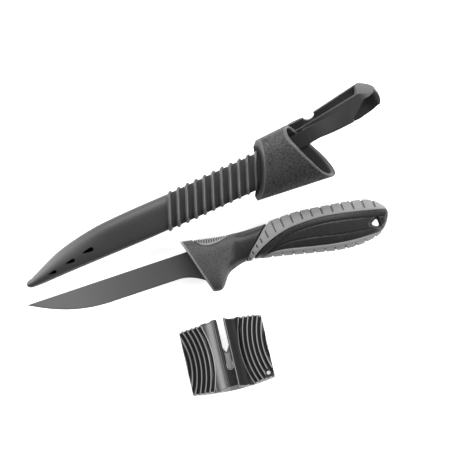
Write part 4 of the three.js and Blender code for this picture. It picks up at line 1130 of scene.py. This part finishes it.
def shell_holes():
    """The pull-through slot and the cord's eyelet, which go through both shells."""
    foot = arc_points(SLOT_MIDDLE, SLOT_FOOT, SLOT_HALF, 180, 360, 18)
    slot = np.vstack([[(SLOT_MIDDLE - SLOT_HALF, 40)], foot, [(SLOT_MIDDLE + SLOT_HALF, 40)]])
    return [prism(outline, -20, 40) for outline in (slot, circle(*EYELET, EYELET_RADIUS, 24))]


def make_front_shell():
    across = np.linspace(-SHELL_HALF, SHELL_HALF, 430)[:, None]
    share = np.linspace(0, 1, 180)
    low, high = heights(end_low, across), heights(end_high, across)
    low_top, high_top = heights(low_edge, across), heights(top_edge, across)
    ridged = np.abs(across) > RIDGE_FIRST
    low_top = low_top + ridged * (shell_height(across, low_top)[1] - 0.5 * (across < 16))
    high_top = high_top - ridged * (1.1 * shell_height(across, high_top)[1] - 0.6 * (across < 23))
    x = np.repeat(across, len(share), 1)
    y = low_top + (high_top - low_top) * share
    z, groove, crest = shell_height(x, y)
    rim = np.minimum.reduce([SHELL_HALF - np.abs(x), y - low_top, high_top - y])
    outer = np.stack([x, y, z - pillow(rim, 0.7, 0.6)], -1)
    foot = np.stack([x, low + (high - low) * share, np.full_like(x, SHELL_SPLIT + 0.15)], -1)
    # A painted highlight on the middle of the lower end face
    end_face_highlight = np.zeros(2 * sum(x.shape) - 4)
    end_face_highlight[: len(across)] = 0.35 * (ease(across, -15, -12) * (1 - ease(across, 9, 12)))[:, 0]
    shell = mesh_object(
        "sharpener_front_shell",
        block_under(outer, foot),
        SHARPENER,
        groove=np.append(groove, np.zeros(2 * len(end_face_highlight))),
        worn=np.concatenate([crest.ravel(), end_face_highlight, end_face_highlight]),
    )
    cut(shell, SHARPENER, *shell_holes())
    dressed(shell, "sharpener", "shell_plastic", SHELL, "front_shell", crease=50)


def make_back_shell():
    outline = np.vstack([end_low, end_high[::-1]])
    steps = ((0, 1.4), (0.12, 0.85), (0.45, 0.4), (0.95, 0.1), (1.5, 0), (4.5, 0), (7.5, 0), (7.85, 0.35))
    rings = []
    for height, inset in steps:
        shrink = np.array([1 - inset / SHELL_HALF, 1 - inset / 20])
        rings.append(np.column_stack([outline * shrink, np.full(len(outline), height)]))
    shell = mesh_object("sharpener_back_shell", lofted(rings), SHARPENER)
    screws = [prism(circle(x, SCREW_Y, 2.8, 45), -4, 2.3) for x in (-SCREW_X, SCREW_X)]
    cut(shell, SHARPENER, *shell_holes(), *screws)
    dressed(shell, "sharpener", "shell_plastic", SHELL, "back_shell", crease=40)


def make_insert():
    top = 1.5
    arc = arc_points(SLOT_MIDDLE, SLOT_FOOT, INSERT_HALF, 180, 360, 24)
    ends = [(SLOT_MIDDLE + side * INSERT_HALF, top) for side in (-1, 1)]
    outline = np.vstack([ends[:1], arc, ends[1:], [(SLOT_MIDDLE, top - 0.3)]])
    holder = mesh_object("sharpener_insert", prism(outline, 1, 11.2), SHARPENER)
    rounded(holder, 0.25)
    dressed(holder, "sharpener", "holder_plastic", HOLDER, "plate_holder", crease=40)


def make_plates():
    """The two crossed plates, one in front of the other."""
    lean = math.radians(PLATE_LEAN)
    aside = PLATE_HALF * math.cos(lean) + 0.5 * math.sin(lean)
    level = 1.9 - PLATE_HALF * math.sin(lean) + 0.5 * math.cos(lean)
    for side, name, low in ((-1, "left", SHELL_SPLIT - 1.9), (1, "right", SHELL_SPLIT + 0.3)):
        outline = turned(rectangle(PLATE_HALF, PLATE_TALL), -PLATE_LEAN * side) + (side * aside, level)
        plate = mesh_object(f"hard_plate_{name}", prism(outline, low, low + PLATE_THICK), SHARPENER)
        rounded(plate, 0.15, 2)
        dressed(plate, "sharpener", "carbide", CARBIDE, f"{name}_sharpening_plate", crease=30)


def make_screws():
    head = [(1.0, 0.3), (1.9, 0.34), (2.3, 0.5), (2.5, 0.75), (2.5, 1.9), (2.4, 2.0)]
    shank = [(1.2, 2.0), (1.2, 12.6), (0.7, 13.0)]
    rings = [np.column_stack([circle(-SCREW_X, SCREW_Y, r, 36), np.full(36, z)]) for r, z in head + shank]
    screw = mesh_object("closing_screws", lofted(rings), SHARPENER)
    for turn in (0, 90):
        recess = turned(rectangle(1.5, 0.32), turn) + (-SCREW_X, SCREW_Y)
        cut(screw, SHARPENER, prism(recess, -1, 1.4))
    repeated(screw, 2, 2 * SCREW_X, SHARPENER, SCREW)
    dressed(screw, "sharpener", "screw_steel", SCREW, "shell_screw_1", "shell_screw_2", crease=30)


make_blade()
make_core()
make_upper_grip()
make_under_grip()
make_thumb_rest()
make_scabbard()
make_ribs()
make_collar()
make_clip()
make_front_shell()
make_back_shell()
make_insert()
make_plates()
make_screws()


# Table, light and camera

def make_table():
    mesh = bpy.data.meshes.new("table")
    mesh.from_pydata([(-4, -4, 0), (4, -4, 0), (4, 4, 0), (-4, 4, 0)], [], [[0, 1, 2, 3]])
    table = shown("table", mesh)
    table.location.z = -0.0002
    look = Finish("pale table")
    tone = 0.9 + 0.01 * look.noise(20, detail=3.0)
    glow = look.wear(tone, 0.9, Emission_Color=(1, 1, 1, 1), Emission_Strength=0.72)
    mesh.materials.append(glow)


def soft_box(name, place, width, height, power):
    """A soft light that faces the middle of the table."""
    light = bpy.data.lights.new(name, "AREA")
    light.shape, light.size, light.size_y, light.energy = "RECTANGLE", width, height, power
    lamp = shown(name, light)
    lamp.location = place
    lamp.rotation_euler = lamp.location.to_track_quat("Z", "Y").to_euler()


def make_light():
    world = bpy.data.worlds.new("studio")
    world.use_nodes = True
    air = world.node_tree.nodes["Background"].inputs
    air["Color"].default_value, air["Strength"].default_value = (1, 1, 1, 1), 0.2
    bpy.context.scene.world = world
    turn = math.radians(VIEW_TURN)
    right = np.array([math.cos(turn), math.sin(turn), 0])
    up = np.array([-math.sin(turn), math.cos(turn), 0])
    top = np.array([0, 0, 1])
    soft_box("back light", 1.2 * up + top, 1.8, 0.8, 34)
    soft_box("right light", 1.3 * right + 0.75 * top, 1.2, 0.6, 26)
    soft_box("left light", -1.4 * right + 0.2 * up + 0.8 * top, 1.2, 0.7, 9)


def make_camera():
    camera = bpy.data.cameras.new("camera")
    camera.sensor_width = 36
    camera.lens = camera.sensor_width * VIEW_DISTANCE / VIEW_WIDTH
    stand = shown("camera", camera)
    stand.location = (*VIEW_MIDDLE, VIEW_DISTANCE)
    stand.rotation_euler = (0, 0, math.radians(VIEW_TURN))
    bpy.context.scene.camera = stand


make_table()
make_light()
make_camera()
bpy.context.scene.view_settings.view_transform = "Standard"
